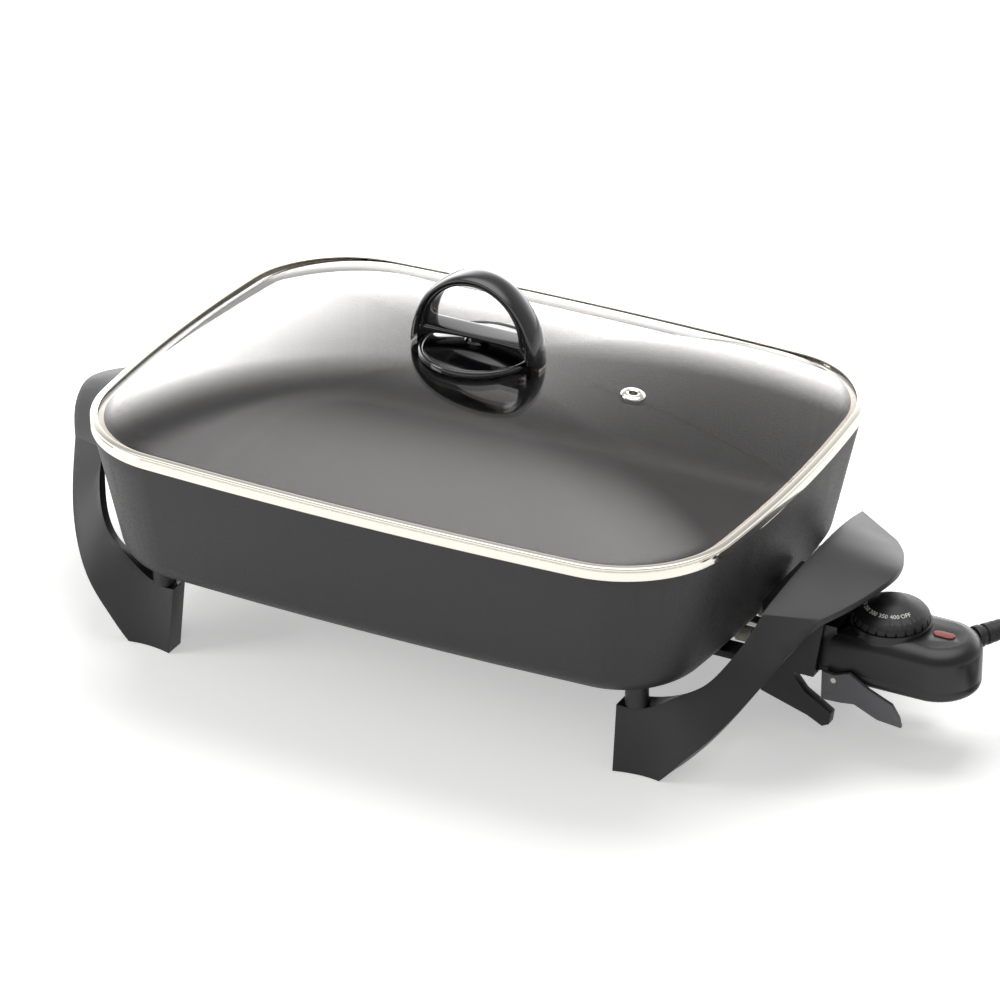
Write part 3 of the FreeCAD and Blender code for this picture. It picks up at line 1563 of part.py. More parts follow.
# Corners of the cord's route to the coil: past the nose's end, across, and above the worktop
LEAD_CORNERS = (
    (115.4, 106.3, 35.0), (134.6, 117.4, 21.0), (156.8, 117.4, 11.0), (176.0, 106.3, 6.0),
    (187.0, 87.0, 4.5),
)


def lead_points():
    tip = relief_axis(relief_tip())
    points = [tip, relief_axis(relief_tip() + 24)]
    front = Vector(float(dim("control_front")), 0, 0)
    points += [front + Vector(*corner) for corner in LEAD_CORNERS]
    end_y = float(dim("coil_y") + dim("coil_lead"))
    points.append(Vector(float(dim("coil_side_x")), end_y, floor_height()))
    return points


def make_lead():
    radii = []
    points = lead_points()
    route = rounded_route(points, radii)
    tube = swept(route, float(dim("cord_radius")))
    wanted = math.pi * float(dim("cord_radius")) ** 2 * route.Length
    print("cord lead radii", [round(radius, 1) for radius in radii],
          "length", round(route.Length, 1), "volume share", round(tube.Volume / wanted, 5))
    return solid_piece("cord_lead", tube), route.Length


def coil_turns():
    """Half turns as (start, middle, end): inwards below, a climb, then outwards on top."""
    pitch = float(dim("cord_radius")) * 2 + float(dim("cord_gap"))
    y, low = float(dim("coil_y")), floor_height()
    high = low + pitch
    sides = [float(dim("coil_side_x"))]
    sides.append(sides[0] - float(dim("coil_start_radius")) * 2)
    sides.append(sides[0] - pitch)
    sides.append(sides[1] + pitch)
    sides.append(sides[2] - pitch + float(dim("coil_climb_draw")))
    sides.append(sides[1] + pitch / 2)
    sides.append(sides[0] - pitch / 2)
    heights = [low, low, low, low, high, high, high]
    turns = []
    for index in range(len(sides) - 1):
        start = Vector(sides[index], y, heights[index])
        end = Vector(sides[index + 1], y, heights[index + 1])
        swing = -1 if index % 2 == 0 else 1
        middle = (start + end) / 2 + Vector(0, swing * (end - start).Length / 2, 0)
        turns.append((start, middle, end))
    return turns


def coil_gap(route):
    """Least gap between the coil's own turns, measured on points along it."""
    step = 1.5
    count = int(route.Length / step)
    points = route.discretize(Number=count)
    apart = int(math.pi * float(dim("coil_start_radius")) * 0.5 / step)
    least = 1e9
    for index, point in enumerate(points):
        for other in points[index + apart:]:
            least = min(least, (point - other).Length)
    return least - float(dim("cord_radius")) * 2


def make_coil():
    turns = coil_turns()
    start = turns[0][0] + Vector(0, float(dim("coil_lead")), 0)
    tail = turns[-1][2] - Vector(0, float(dim("coil_tail")), 0)
    edges = [Part.LineSegment(start, turns[0][0]).toShape()]
    edges += [Part.Arc(*turn).toShape() for turn in turns]
    edges.append(Part.LineSegment(turns[-1][2], tail).toShape())
    route = Part.Wire(edges)
    tube = swept(route, float(dim("cord_radius")))
    wanted = math.pi * float(dim("cord_radius")) ** 2 * route.Length
    print("cord coil length", round(route.Length, 1), "least gap", round(coil_gap(route), 2),
          "volume share", round(tube.Volume / wanted, 5))
    return solid_piece("cord_coil", tube), route.Length, tail


def make_tie():
    """Flat band round the coil's three strands on its near side."""
    turns = coil_turns()
    strands = [turns[0][2], turns[2][2], turns[4][2]]
    middle_y = float(dim("coil_y"))
    inner = float(dim("cord_radius") + dim("tie_gap"))
    outer = inner + float(dim("tie_thickness"))
    loop = Part.makePolygon([Vector(point.x, middle_y, point.z) for point in strands + strands[:1]])
    face = Part.Face(loop)
    band = face.makeOffset2D(outer).cut(face.makeOffset2D(inner))
    width = float(dim("tie_width"))
    tie = band.extrude(Vector(0, width, 0))
    tie.translate(Vector(0, -width / 2, 0))
    return solid_piece("cord_tie", tie)


def make_plug(tail):
    """Moulded plug with a tapered sleeve, lying along -Y, and its two blades."""
    x, z = tail.x, tail.z
    start = -tail.y
    sleeve, length = dim("plug_sleeve"), dim("plug_length")
    body = new_body("plug_body")
    ring = new_sketch(body, "XZ_Plane", start)
    circle(ring, x, z, dim("relief_tip_radius") + 0.6)
    pad(body, ring, sleeve + 1)
    block = new_sketch(body, "XZ_Plane", start + sleeve)
    half_x, half_z = dim("plug_half_width"), dim("plug_half_height")
    box_outline(block, x - half_x, x + half_x, z - half_z, z + half_z)
    pad(body, block, length)
    round_edges(body, dim("plug_half_width") * 0.4, lambda middle, edge: (
        edge.BoundBox.YLength > float(length) - 1 and len(edge.Vertexes) == 2
        and abs(middle.x - x) > float(half_x) * 0.9 and abs(middle.z - z) > float(half_z) * 0.9))
    blades = new_body("plug_blades")
    blades.AllowCompound = True
    pair = new_sketch(blades, "XZ_Plane", start + sleeve + length)
    for side in (-1, 1):
        middle = dim("blade_spacing") * side / 2 + x
        box_outline(pair, middle - dim("blade_thickness") / 2, middle + dim("blade_thickness") / 2,
                    z - dim("blade_width") / 2, z + dim("blade_width") / 2)
    pad(blades, pair, dim("blade_length"))
    return [body, blades]


def make_cord():
    lead, lead_length = make_lead()
    coil, coil_length, tail = make_coil()
    print("whole cord outside the sleeves", round(lead_length + coil_length, 1))
    return [lead, coil, make_tie()] + make_plug(tail)


def make_base():
    """Everything that stays together when the lid and the control are taken away."""
    pieces = [make_pan()]
    pieces += make_heater()
    pieces += [make_handle("left_handle", True), make_handle("right_handle", False)]
    pieces.append(make_handle_screws())
    pieces += make_guard()
    return pieces


def find_faults(pieces):
    """Objects that failed, and sub-parts whose shape is missing or invalid."""
    faults = ["%s is %s" % (item.Label, item.State) for item in doc.Objects
              if "Invalid" in item.State or "Error" in item.State]
    for item in pieces:
        if item.Shape.isNull():
            faults.append("%s has no shape" % item.Label)
        elif not item.Shape.isValid() or not item.Shape.Solids:
            faults.append("%s has a shape that is not valid" % item.Label)
    return faults


def main():
    pieces = make_base() + make_lid() + make_control() + make_cord()
    doc.recompute()
    faults = find_faults(pieces)
    if faults:
        raise RuntimeError("; ".join(faults))
    os.makedirs("parts", exist_ok=True)
    for item in pieces:
        item.Shape.exportStep("parts/%s.step" % item.Label)
        print("%-22s solids %2d  volume %9.0f mm3" % (
            item.Label, len(item.Shape.Solids), item.Shape.Volume))


main()
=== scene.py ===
"""Looks of a family-size electric skillet, built round its packed construction model."""

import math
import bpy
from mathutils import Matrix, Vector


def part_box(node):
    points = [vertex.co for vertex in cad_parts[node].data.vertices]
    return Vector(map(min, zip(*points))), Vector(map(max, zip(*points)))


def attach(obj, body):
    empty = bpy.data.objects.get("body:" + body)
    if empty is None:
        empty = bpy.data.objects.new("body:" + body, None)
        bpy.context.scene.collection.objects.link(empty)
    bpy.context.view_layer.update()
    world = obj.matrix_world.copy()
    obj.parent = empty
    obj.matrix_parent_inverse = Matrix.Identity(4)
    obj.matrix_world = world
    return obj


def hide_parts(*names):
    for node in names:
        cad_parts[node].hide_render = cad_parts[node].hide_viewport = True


bl_info = {
    "name": "Electric Skillet",
    "version": (1, 0, 0),
    "blender": (4, 5, 0),
    "location": "View3D > Sidebar > Skillet",
    "description": "Models the finish of an electric skillet round its packed frame",
    "category": "Object",
}

import bpy
from mathutils import Matrix, Vector

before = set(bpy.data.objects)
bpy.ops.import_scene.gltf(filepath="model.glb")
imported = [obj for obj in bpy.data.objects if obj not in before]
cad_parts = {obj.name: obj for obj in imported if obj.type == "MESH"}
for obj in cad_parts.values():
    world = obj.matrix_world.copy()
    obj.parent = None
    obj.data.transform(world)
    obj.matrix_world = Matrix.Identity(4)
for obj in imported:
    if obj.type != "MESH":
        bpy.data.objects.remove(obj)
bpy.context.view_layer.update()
MM = 0.001

# Distances under which drawn points and finished meshes are merged
DRAWN_WELD = MM * 0.001
WELD = MM * 0.002


def linear(code):
    """sRGB hex colour as linear red, green, blue and alpha."""
    parts = [int(code[place:place + 2], 16) / 255 for place in (1, 3, 5)]
    turned = [part / 12.92 if part <= 0.04045 else ((part + 0.055) / 1.055) ** 2.4
              for part in parts]
    return (*turned, 1.0)


def length(name, about, size):
    """Length property with a default in millimetres."""
    return bpy.props.FloatProperty(name=name, description=about, default=size * MM,
                                   unit="LENGTH", precision=5)


def colour(name, about, code):
    """Colour property with an sRGB hex default."""
    return bpy.props.FloatVectorProperty(name=name, description=about, default=linear(code),
                                         subtype="COLOR", size=4, min=0.0, max=1.0)


RIM_LOW, RIM_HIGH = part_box("lid_rim")
GLASS_LOW, GLASS_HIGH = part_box("lid_glass")
ARCH_LOW, ARCH_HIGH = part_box("lid_handle")
DISC_LOW, DISC_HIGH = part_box("lid_handle_base")
DIAL_LOW, DIAL_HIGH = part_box("dial")


class SkilletSizes(bpy.types.PropertyGroup):
    """Sizes that shape the modelled pieces."""

    corner: length("Rim corner", "Radius of the pan rim's corners", 64.8)
    end_bow: length("End bow", "Radius of the rim's bowed ends", 900.0)
    side_bow: length("Side bow", "Radius of the rim's bowed sides", 2450.0)
    overhang: length("Ring overhang", "How far the lid's ring stands out past the rim", 1.2)
    ring_skin: length("Ring skin", "Steel over the glass's edge", 0.9)
    ring_top: length("Ring top strip", "Width of the ring's top strip", 4.0)
    ring_depth: length("Ring depth", "Width of the ring's shelf under the glass", 8.0)
    ring_lip: length("Ring lip", "Thickness of the lip inside the pan", 1.2)
    ring_height: length("Ring height", "Height of the ring's outer face", 7.9)
    glass_thickness: length("Glass", "Thickness of the lid's glass", 4.0)
    dome_power: bpy.props.FloatProperty(name="Dome shape", default=2.7,
                                        description="Power of the dome's fall to its edge")
    vent_x: length("Vent place", "Distance of the vent from the lid's middle", 94.0)
    cord: length("Cord radius", "Radius of the mains cord", 3.5)
    cord_pitch: length("Coil pitch", "Distance between neighbouring turns", 7.65)
    coil_radius: length("Coil radius", "Radius of the coil's outer half turn", 39.125)


class SkilletColours(bpy.types.PropertyGroup):
    """Colours of the real materials."""

    nonstick: colour("Nonstick", "Charcoal nonstick coat", "#1f1e1f")
    phenolic: colour("Satin phenolic", "Legs and grips", "#1a1a1c")
    gloss: colour("Gloss phenolic", "Polished lid handle", "#08080a")
    steel: colour("Steel", "Polished stainless ring", "#e8e4da")
    glass: colour("Glass", "Tempered glass", "#eee9e7")
    control: colour("Control", "Control housing", "#111112")
    dial: colour("Dial", "Matt dial", "#0f0f10")
    lever: colour("Lever", "Release lever", "#5e5e61")
    lens: colour("Lens", "Lamp lens", "#b4524c")
    print_white: colour("Print", "Dial numbers", "#e6e4df")
    vinyl: colour("Vinyl", "Cord jacket", "#131314")


class SkilletCamera(bpy.types.PropertyGroup):
    """Where the picture is taken from."""

    azimuth: bpy.props.FloatProperty(name="Azimuth", default=math.radians(27.4731),
                                     description="Turn round the pan", subtype="ANGLE")
    elevation: bpy.props.FloatProperty(name="Elevation", default=math.radians(27.9699),
                                       description="Angle above the worktop", subtype="ANGLE")
    distance: length("Distance", "From the target to the lens", 2987.77)
    across: length("Aim across", "Target's place to the right of the origin", 11.987)
    above: length("Aim above", "Target's place above the origin, in the picture", 70.327)
    lens: bpy.props.FloatProperty(name="Lens", default=190.096, min=1.0,
                                  description="Focal length for a 36 mm sensor")


# Materials

def add_node(tree, kind, settings=None, links=None):
    """Adds a node, sets its properties or sockets by name, and links its inputs."""
    node = tree.nodes.new(kind)
    for name, value in (settings or {}).items():
        if name in node.inputs:
            node.inputs[name].default_value = value
        else:
            setattr(node, name, value)
    for name, source in (links or {}).items():
        tree.links.new(source, node.inputs[name])
    return node


def combine(tree, operation, *values):
    """Result of a maths node over sockets and plain numbers."""
    node = add_node(tree, "ShaderNodeMath", {"operation": operation})
    for socket, value in zip(node.inputs, values):
        if isinstance(value, float):
            socket.default_value = value
        else:
            tree.links.new(value, socket)
    return node.outputs[0]


def new_material(name, base, roughness, **sockets):
    """Principled material and its tree, shader and object coordinates."""
    made = bpy.data.materials.new(name)
    made.use_nodes = True
    tree = made.node_tree
    shader = tree.nodes["Principled BSDF"]
    shader.inputs["Base Color"].default_value = base
    shader.inputs["Roughness"].default_value = roughness
    for socket, value in sockets.items():
        shader.inputs[socket.replace("_", " ")].default_value = value
    place = add_node(tree, "ShaderNodeTexCoord").outputs["Object"]
    return made, tree, shader, place


def grain(tree, place, size, detail=2.0, stretch=(1.0, 1.0, 1.0)):
    """Noise whose lumps are about one size across, in metres."""
    turned = add_node(tree, "ShaderNodeMapping", {"Scale": stretch}, {"Vector": place})
    return add_node(tree, "ShaderNodeTexNoise",
                    {"Scale": 1.0 / size, "Detail": detail, "Roughness": 0.55},
                    {"Vector": turned.outputs["Vector"]}).outputs["Fac"]


def vary(tree, source, low, high):
    """Maps a pattern onto a range of values."""
    return add_node(tree, "ShaderNodeMapRange",
                    {"From Min": 0.3, "From Max": 0.7, "To Min": low, "To Max": high},
                    {"Value": source}).outputs["Result"]


def tint(tree, source, first, second):
    """Mixes two colours by a pattern."""
    mix = add_node(tree, "ShaderNodeMix", {"data_type": "RGBA"})
    mix.inputs[6].default_value = first
    mix.inputs[7].default_value = second
    tree.links.new(vary(tree, source, 0.0, 1.0), mix.inputs[0])
    return mix.outputs[2]


def relief(tree, shader, source, depth, strength=1.0):
    """Bump of a real depth, in metres."""
    bump = add_node(tree, "ShaderNodeBump", {"Strength": strength, "Distance": depth},
                    {"Height": source})
    tree.links.new(bump.outputs["Normal"], shader.inputs["Normal"])


def shade(base, share):
    """A colour made lighter or darker by a share."""
    return (*[min(1.0, part * share) for part in base[:3]], 1.0)


def nonstick_material(colours):
    """Sprayed and baked nonstick coat: satin, with fine grit that glints a little."""
    base = colours.nonstick
    made, tree, shader, place = new_material("sprayed_nonstick", base, 0.5)
    shader.inputs["Specular IOR Level"].default_value = 0.55
    fine = grain(tree, place, 1.3 * MM, 3.0)
    tree.links.new(tint(tree, fine, shade(base, 0.65), shade(base, 1.5)),
                   shader.inputs["Base Color"])
    tree.links.new(vary(tree, fine, 0.4, 0.6), shader.inputs["Roughness"])
    relief(tree, shader, fine, 0.25 * MM, 0.8)
    return made


def moulded_material(name, base, roughness, depth=0.03, size=0.9, coat=0.0):
    """Moulded plastic: even colour, a faint tooled texture and slight polish changes."""
    made, tree, shader, place = new_material(name, base, roughness)
    shader.inputs["Coat Weight"].default_value = coat
    shader.inputs["Coat Roughness"].default_value = 0.05
    fine = grain(tree, place, size * MM)
    broad = grain(tree, place, 28 * MM, 1.0)
    tree.links.new(tint(tree, broad, shade(base, 0.9), shade(base, 1.15)),
                   shader.inputs["Base Color"])
    tree.links.new(vary(tree, broad, roughness * 0.92, roughness * 1.08),
                   shader.inputs["Roughness"])
    relief(tree, shader, fine, depth * MM, 0.5)
    return made


def steel_material(name, base, roughness, stretch=(1.0, 1.0, 12.0)):
    """Rolled and polished stainless steel: mirror bright with hair-fine drawing lines."""
    made, tree, shader, place = new_material(name, base, roughness, Metallic=1.0)
    lines = grain(tree, place, 3.0 * MM, 3.0, stretch)
    tree.links.new(vary(tree, lines, roughness * 0.7, roughness * 1.5),
                   shader.inputs["Roughness"])
    relief(tree, shader, lines, 0.01 * MM, 0.25)
    return made


def glass_material(colours):
    """Tempered soda-lime glass: clear, fire-polished, faintly smoky in the thick."""
    made, tree, shader, place = new_material("tempered_glass", colours.glass, 0.0, IOR=1.5)
    shader.inputs["Transmission Weight"].default_value = 1.0
    smear = grain(tree, place, 55 * MM, 2.0)
    tree.links.new(vary(tree, smear, 0.0, 0.02), shader.inputs["Roughness"])
    return made


def lens_material(colours):
    """Clear red polycarbonate over a lamp: glossy skin with light coming through."""
    made, tree, shader, place = new_material("red_polycarbonate", colours.lens, 0.12)
    shader.inputs["Transmission Weight"].default_value = 0.25
    shader.inputs["Subsurface Weight"].default_value = 0.4
    shader.inputs["Subsurface Scale"].default_value = 1.5 * MM
    ribs = add_node(tree, "ShaderNodeTexWave",
                    {"Scale": 1 / (6.0 * MM), "bands_direction": "X"}, {"Vector": place})
    relief(tree, shader, ribs.outputs["Fac"], 0.08 * MM, 0.4)
    return made


def ceramic_material():
    """Fired steatite: dry, chalky white with a fine grit."""
    base = linear("#ded8ca")
    made, tree, shader, place = new_material("fired_steatite", base, 0.7)
    fine = grain(tree, place, 0.5 * MM)
    tree.links.new(tint(tree, fine, shade(base, 0.85), base), shader.inputs["Base Color"])
    relief(tree, shader, fine, 0.03 * MM)
    return made


def sleeve_material():
    """Woven glass sleeving: pale, with a fine helical weave."""
    base = linear("#d2cdbf")
    made, tree, shader, place = new_material("woven_glass_sleeve", base, 0.75)
    weave = add_node(tree, "ShaderNodeTexWave",
                     {"Scale": 1 / (2.0 * MM), "bands_direction": "DIAGONAL"},
                     {"Vector": place}).outputs["Fac"]
    tree.links.new(tint(tree, weave, shade(base, 0.7), base), shader.inputs["Base Color"])
    relief(tree, shader, weave, 0.08 * MM)
    return made


def make_materials():
    """Every material of the skillet by name."""
    colours = bpy.context.scene.skillet_colours
    return {
        "nonstick": nonstick_material(colours),
        "phenolic": moulded_material("satin_phenolic", colours.phenolic, 0.42, 0.02, 0.8),
        "gloss": moulded_material("polished_phenolic", colours.gloss, 0.1, 0.004, 6.0, 0.6),
        "guard": moulded_material("heat_resistant_nylon", shade(colours.phenolic, 0.7), 0.45),
        "control": moulded_material("control_phenolic", colours.control, 0.34, 0.02, 0.7),
        "dial": moulded_material("matt_dial_nylon", colours.dial, 0.5, 0.03, 0.6),
        "lever": moulded_material("grey_nylon", colours.lever, 0.4, 0.02, 0.8),
        "vinyl": moulded_material("cord_vinyl", colours.vinyl, 0.48, 0.03, 0.7),
        "print": moulded_material("pad_printed_ink", colours.print_white, 0.6, 0.01, 0.5),
        "silicone": moulded_material("silicone_rubber", linear("#2a2a2a"), 0.6),
        "steel": steel_material("polished_stainless", colours.steel, 0.07),
        "zinc": steel_material("zinc_plated_steel", linear("#a9a9a6"), 0.3, (1, 1, 1)),
        "sheath": steel_material("drawn_sheath", linear("#6d6a66"), 0.38, (1, 6, 1)),
        "nickel": steel_material("nickel_plate", linear("#c4c0b8"), 0.18, (8, 1, 1)),
        "brass": steel_material("formed_brass", linear("#c9a25c"), 0.25, (8, 1, 1)),
        "glass": glass_material(colours),
        "lens": lens_material(colours),
        "ceramic": ceramic_material(),
        "sleeve": sleeve_material(),
    }


def give(piece, material):
    piece.data.materials.clear()
    piece.data.materials.append(material)


# Modelling helpers

def only(piece):
    """Makes one object the only selected one."""
    if bpy.context.mode != "OBJECT":
        bpy.ops.object.mode_set(mode="OBJECT")
    bpy.ops.object.select_all(action="DESELECT")
    piece.select_set(True)
    bpy.context.view_layer.objects.active = piece


def start_point(name, point):
    """New mesh of a single selected vertex, left in edit mode."""
    bpy.ops.object.select_all(action="DESELECT")
    bpy.ops.mesh.primitive_plane_add(size=1.0)
    piece = bpy.context.active_object
    piece.name = name
    bpy.ops.object.mode_set(mode="EDIT")
    bpy.ops.mesh.select_mode(type="VERT")
    bpy.ops.mesh.select_all(action="SELECT")
    bpy.ops.mesh.merge(type="CENTER")
    bpy.ops.transform.translate(value=point)
    return piece


def draw_profile(name, points):
    """Closed outline in the XZ plane, drawn point by point from (x, z) pairs."""
    corners = [Vector((x, 0, z)) for x, z in points]
    piece = start_point(name, corners[0])
    last = corners[0]
    for corner in corners[1:] + corners[:1]:
        bpy.ops.mesh.extrude_region_move(TRANSFORM_OT_translate={"value": corner - last})
        last = corner
    bpy.ops.mesh.select_all(action="SELECT")
    bpy.ops.mesh.remove_doubles(threshold=DRAWN_WELD)
    bpy.ops.mesh.select_all(action="SELECT")
    return piece


def close_up(piece, smooth=35.0):
    """Merges doubles, turns faces outwards and smooths by angle."""
    only(piece)
    bpy.ops.object.mode_set(mode="EDIT")
    bpy.ops.mesh.select_all(action="SELECT")
    bpy.ops.mesh.remove_doubles(threshold=WELD)
    bpy.ops.mesh.normals_make_consistent(inside=False)
    bpy.ops.object.mode_set(mode="OBJECT")
    bpy.ops.object.shade_smooth_by_angle(angle=math.radians(smooth))
    return piece


def turned_piece(name, points, steps=96, smooth=35.0):
    """Round piece: a profile of (radius, height) spun about the Z axis."""
    piece = draw_profile(name, points)
    bpy.ops.mesh.spin(steps=steps, angle=math.tau, center=(0, 0, 0), axis=(0, 0, 1))
    return close_up(piece, smooth)


def rim_arcs():
    """Centre, turn and steps of each tangent arc of the rim, from the right end's middle."""
    sizes = bpy.context.scene.skillet_sizes
    half_x = RIM_HIGH.x - sizes.overhang
    half_y = RIM_HIGH.y - sizes.overhang
    end = Vector((half_x - sizes.end_bow, 0, 0))
    side = Vector((0, half_y - sizes.side_bow, 0))
    reach_end = sizes.end_bow - sizes.corner
    reach_side = sizes.side_bow - sizes.corner
    span = (side - end).length
    along = (reach_end ** 2 - reach_side ** 2 + span ** 2) / (2 * span)
    across = math.sqrt(reach_end ** 2 - along ** 2)
    way = (side - end).normalized()
    left = Vector((-way.y, way.x, 0))
    found = [end + way * along + left * across, end + way * along - left * across]
    corner = max(found, key=lambda point: point.x + point.y)
    low = math.atan2((corner - end).y, (corner - end).x)
    high = math.atan2((corner - side).y, (corner - side).x)
    quarter = high - low
    return [
        (end, low, 8), (corner, quarter, 36), (side, math.pi - 2 * high, 28),
        (Vector((-corner.x, corner.y, 0)), quarter, 36), (-end, 2 * low, 16),
        (-corner, quarter, 36), (-side, math.pi - 2 * high, 28),
        (Vector((corner.x, -corner.y, 0)), quarter, 36), (end, low, 8),
    ]


def spin_round_rim():
    """Spins what is selected round the rim's arcs, one after the other."""
    # The spin operator turns clockwise for a positive angle
    for centre, angle, steps in rim_arcs():
        bpy.ops.mesh.spin(steps=steps, angle=-angle, center=centre, axis=(0, 0, 1))


def copied_node(node, name):
    """Welded copy of a construction node's mesh, as an object of its own."""
    piece = bpy.data.objects.new(name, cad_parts[node].data.copy())
    bpy.context.scene.collection.objects.link(piece)
    only(piece)
    bpy.ops.object.mode_set(mode="EDIT")
    bpy.ops.mesh.select_all(action="SELECT")
    bpy.ops.mesh.remove_doubles(threshold=WELD)
    bpy.ops.mesh.dissolve_limited(angle_limit=math.radians(0.4))
    bpy.ops.object.mode_set(mode="OBJECT")
    return piece


def bevelled(piece, width, segments=3, sharp=32.0, smooth=40.0):
    """Rounds the sharp edges by a width in millimetres, as a mould or press leaves them."""
    only(piece)
    rounding = piece.modifiers.new("edge_round", "BEVEL")
    rounding.width = width * MM
    rounding.segments = segments
    rounding.limit_method = "ANGLE"
    rounding.angle_limit = math.radians(sharp)
    rounding.use_clamp_overlap = True
    rounding.miter_outer = "MITER_ARC"
    bpy.ops.object.modifier_apply(modifier=rounding.name)
    bpy.ops.object.shade_smooth_by_angle(angle=math.radians(smooth))
    return piece


def settle(piece, body, slot, *nodes):
    """Parents a finished piece to the body it rides on and hides the nodes it stands for."""
    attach(piece, body)
    if nodes:
        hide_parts(*nodes)


# Materials by name, filled by main
MATERIALS = {}


def finish_nodes(pairs):
    """Gives the construction nodes that stay their materials."""
    for node, material in pairs:
        give(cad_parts[node], MATERIALS[material])


class SKILLET_OT_pan(bpy.types.Operator):
    """Coats the pan casting and finishes what is cast into it."""

    bl_idname = "skillet.pan"
    bl_label = "Pan"

    def execute(self, context):
        pan = copied_node("pan_body", "coated_pan")
        bevelled(pan, 0.5, 2)
        give(pan, MATERIALS["nonstick"])
        settle(pan, "base", "nonstick_aluminium", "pan_body")
        finish_nodes([
            ("heating_element", "sheath"), ("pin_insulators", "ceramic"),
            ("terminal_pins", "nickel"), ("handle_screws", "zinc"), ("guard_screws", "zinc")])
        return {"FINISHED"}


class SKILLET_OT_handles(bpy.types.Operator):
    """Softens the moulded edges of the two leg-and-grip pieces and the guard."""

    bl_idname = "skillet.handles"
    bl_label = "Legs, grips and guard"

    def execute(self, context):
        for node, name in (("left_handle", "left_leg_and_grip"),
                           ("right_handle", "right_leg_and_grip")):
            piece = bevelled(copied_node(node, name), 0.9)
            give(piece, MATERIALS["phenolic"])
            settle(piece, "base", "satin_phenolic", node)
        guard = bevelled(copied_node("terminal_guard", "pin_guard"), 0.5)
        give(guard, MATERIALS["guard"])
        settle(guard, "base", "guard_plastic", "terminal_guard")
        return {"FINISHED"}


# The ring's rolled edges, the line rolled into its face and its play under the glass
RING_ROLL = 0.9 * MM
RING_LINE = 0.45 * MM
GLASS_PLAY = 0.1 * MM


class SKILLET_OT_ring(bpy.types.Operator):
    """Rolls the lid's steel ring round the rim."""

    bl_idname = "skillet.ring"
    bl_label = "Lid ring"

    def execute(self, context):
        sizes = context.scene.skillet_sizes
        outer, top = RIM_HIGH.x, RIM_HIGH.z
        bottom = top - sizes.ring_height
        skin, shelf = sizes.ring_skin, GLASS_LOW.z - GLASS_PLAY
        roof = top - skin
        inner, lip = outer - sizes.ring_depth, outer - sizes.ring_depth + sizes.ring_lip
        strip = outer - sizes.ring_top
        roll, line = RING_ROLL, RING_LINE
        profile = [(lip, bottom), (outer - roll, bottom),
                   (outer - roll * 0.25, bottom + roll * 0.3),
                   (outer, bottom + roll), (outer, top - 2.4 * MM),
                   (outer - line, top - 2.1 * MM), (outer - line, top - 1.9 * MM),
                   (outer, top - 1.6 * MM), (outer, top - roll),
                   (outer - roll * 0.3, top - roll * 0.3), (outer - roll, top),
                   (strip + 0.3 * MM, top), (strip, top - 0.3 * MM), (strip, roof),
                   (outer - skin, roof), (outer - skin, shelf), (inner, shelf),
                   (inner, RIM_LOW.z), (lip, RIM_LOW.z)]
        ring = draw_profile("rolled_ring", profile)
        spin_round_rim()
        close_up(ring, 30.0)
        bevelled(ring, 0.15, 2, 50.0)
        give(ring, MATERIALS["steel"])
        settle(ring, "lid", "polished_steel", "lid_rim")
        return {"FINISHED"}


# The flat edge that the ring grips, the dome's flat middle as a share, and its rings
GLASS_FLAT = 4.4 * MM
DOME_FLAT = 0.14
DOME_RINGS = 44


class SKILLET_OT_glass(bpy.types.Operator):
    """Blows the domed glass ring by ring from its edge to its middle."""

    bl_idname = "skillet.glass"
    bl_label = "Lid glass"

    def execute(self, context):
        sizes = context.scene.skillet_sizes
        edge_top = GLASS_LOW.z + sizes.glass_thickness
        rise = GLASS_HIGH.z - edge_top
        flat_edge = 1 - GLASS_FLAT / (RIM_HIGH.y - sizes.overhang)
        glass = start_point("domed_glass", (GLASS_HIGH.x, 0, edge_top))
        spin_round_rim()
        bpy.ops.mesh.select_all(action="SELECT")
        bpy.ops.mesh.remove_doubles(threshold=DRAWN_WELD)
        bpy.ops.mesh.select_all(action="SELECT")
        flat = DOME_FLAT ** sizes.dome_power
        scale, height = 1.0, edge_top
        for step in range(DOME_RINGS):
            share = 1.0 - step / DOME_RINGS
            wanted = flat_edge * share
            fall = max(0.0, share ** sizes.dome_power - flat) / (1 - flat)
            level = edge_top + rise * (1 - fall)
            bpy.ops.mesh.extrude_region_move()
            factor = wanted / scale
            bpy.ops.transform.resize(value=(factor, factor, 1), center_override=(0, 0, 0))
            bpy.ops.transform.translate(value=(0, 0, level - height))
            scale, height = wanted, level
        bpy.ops.mesh.merge(type="CENTER")
        close_up(glass, 60.0)
        wall = glass.modifiers.new("wall", "SOLIDIFY")
        wall.thickness = sizes.glass_thickness
        wall.offset = -1.0
        bpy.ops.object.modifier_apply(modifier=wall.name)
        bpy.ops.object.shade_smooth_by_angle(angle=math.radians(40))
        give(glass, MATERIALS["glass"])
        settle(glass, "lid", "smoked_glass", "lid_glass")
        return {"FINISHED"}


# The glass's slope at the vent, the eyelet's seat under its box's top,
# and the eyelet's half profile (radius, height) in millimetres
VENT_SLOPE = 0.1238
VENT_SEAT = 2.35 * MM
EYELET = (
    (2.6, 1.0), (3.0, 1.35), (4.2, 1.5), (5.6, 1.2), (6.5, 0.7), (6.9, 0.15),
    (6.9, 0.05), (3.6, 0.05), (3.6, -4.1), (5.5, -4.1), (5.5, -5.0), (2.6, -5.0),
)


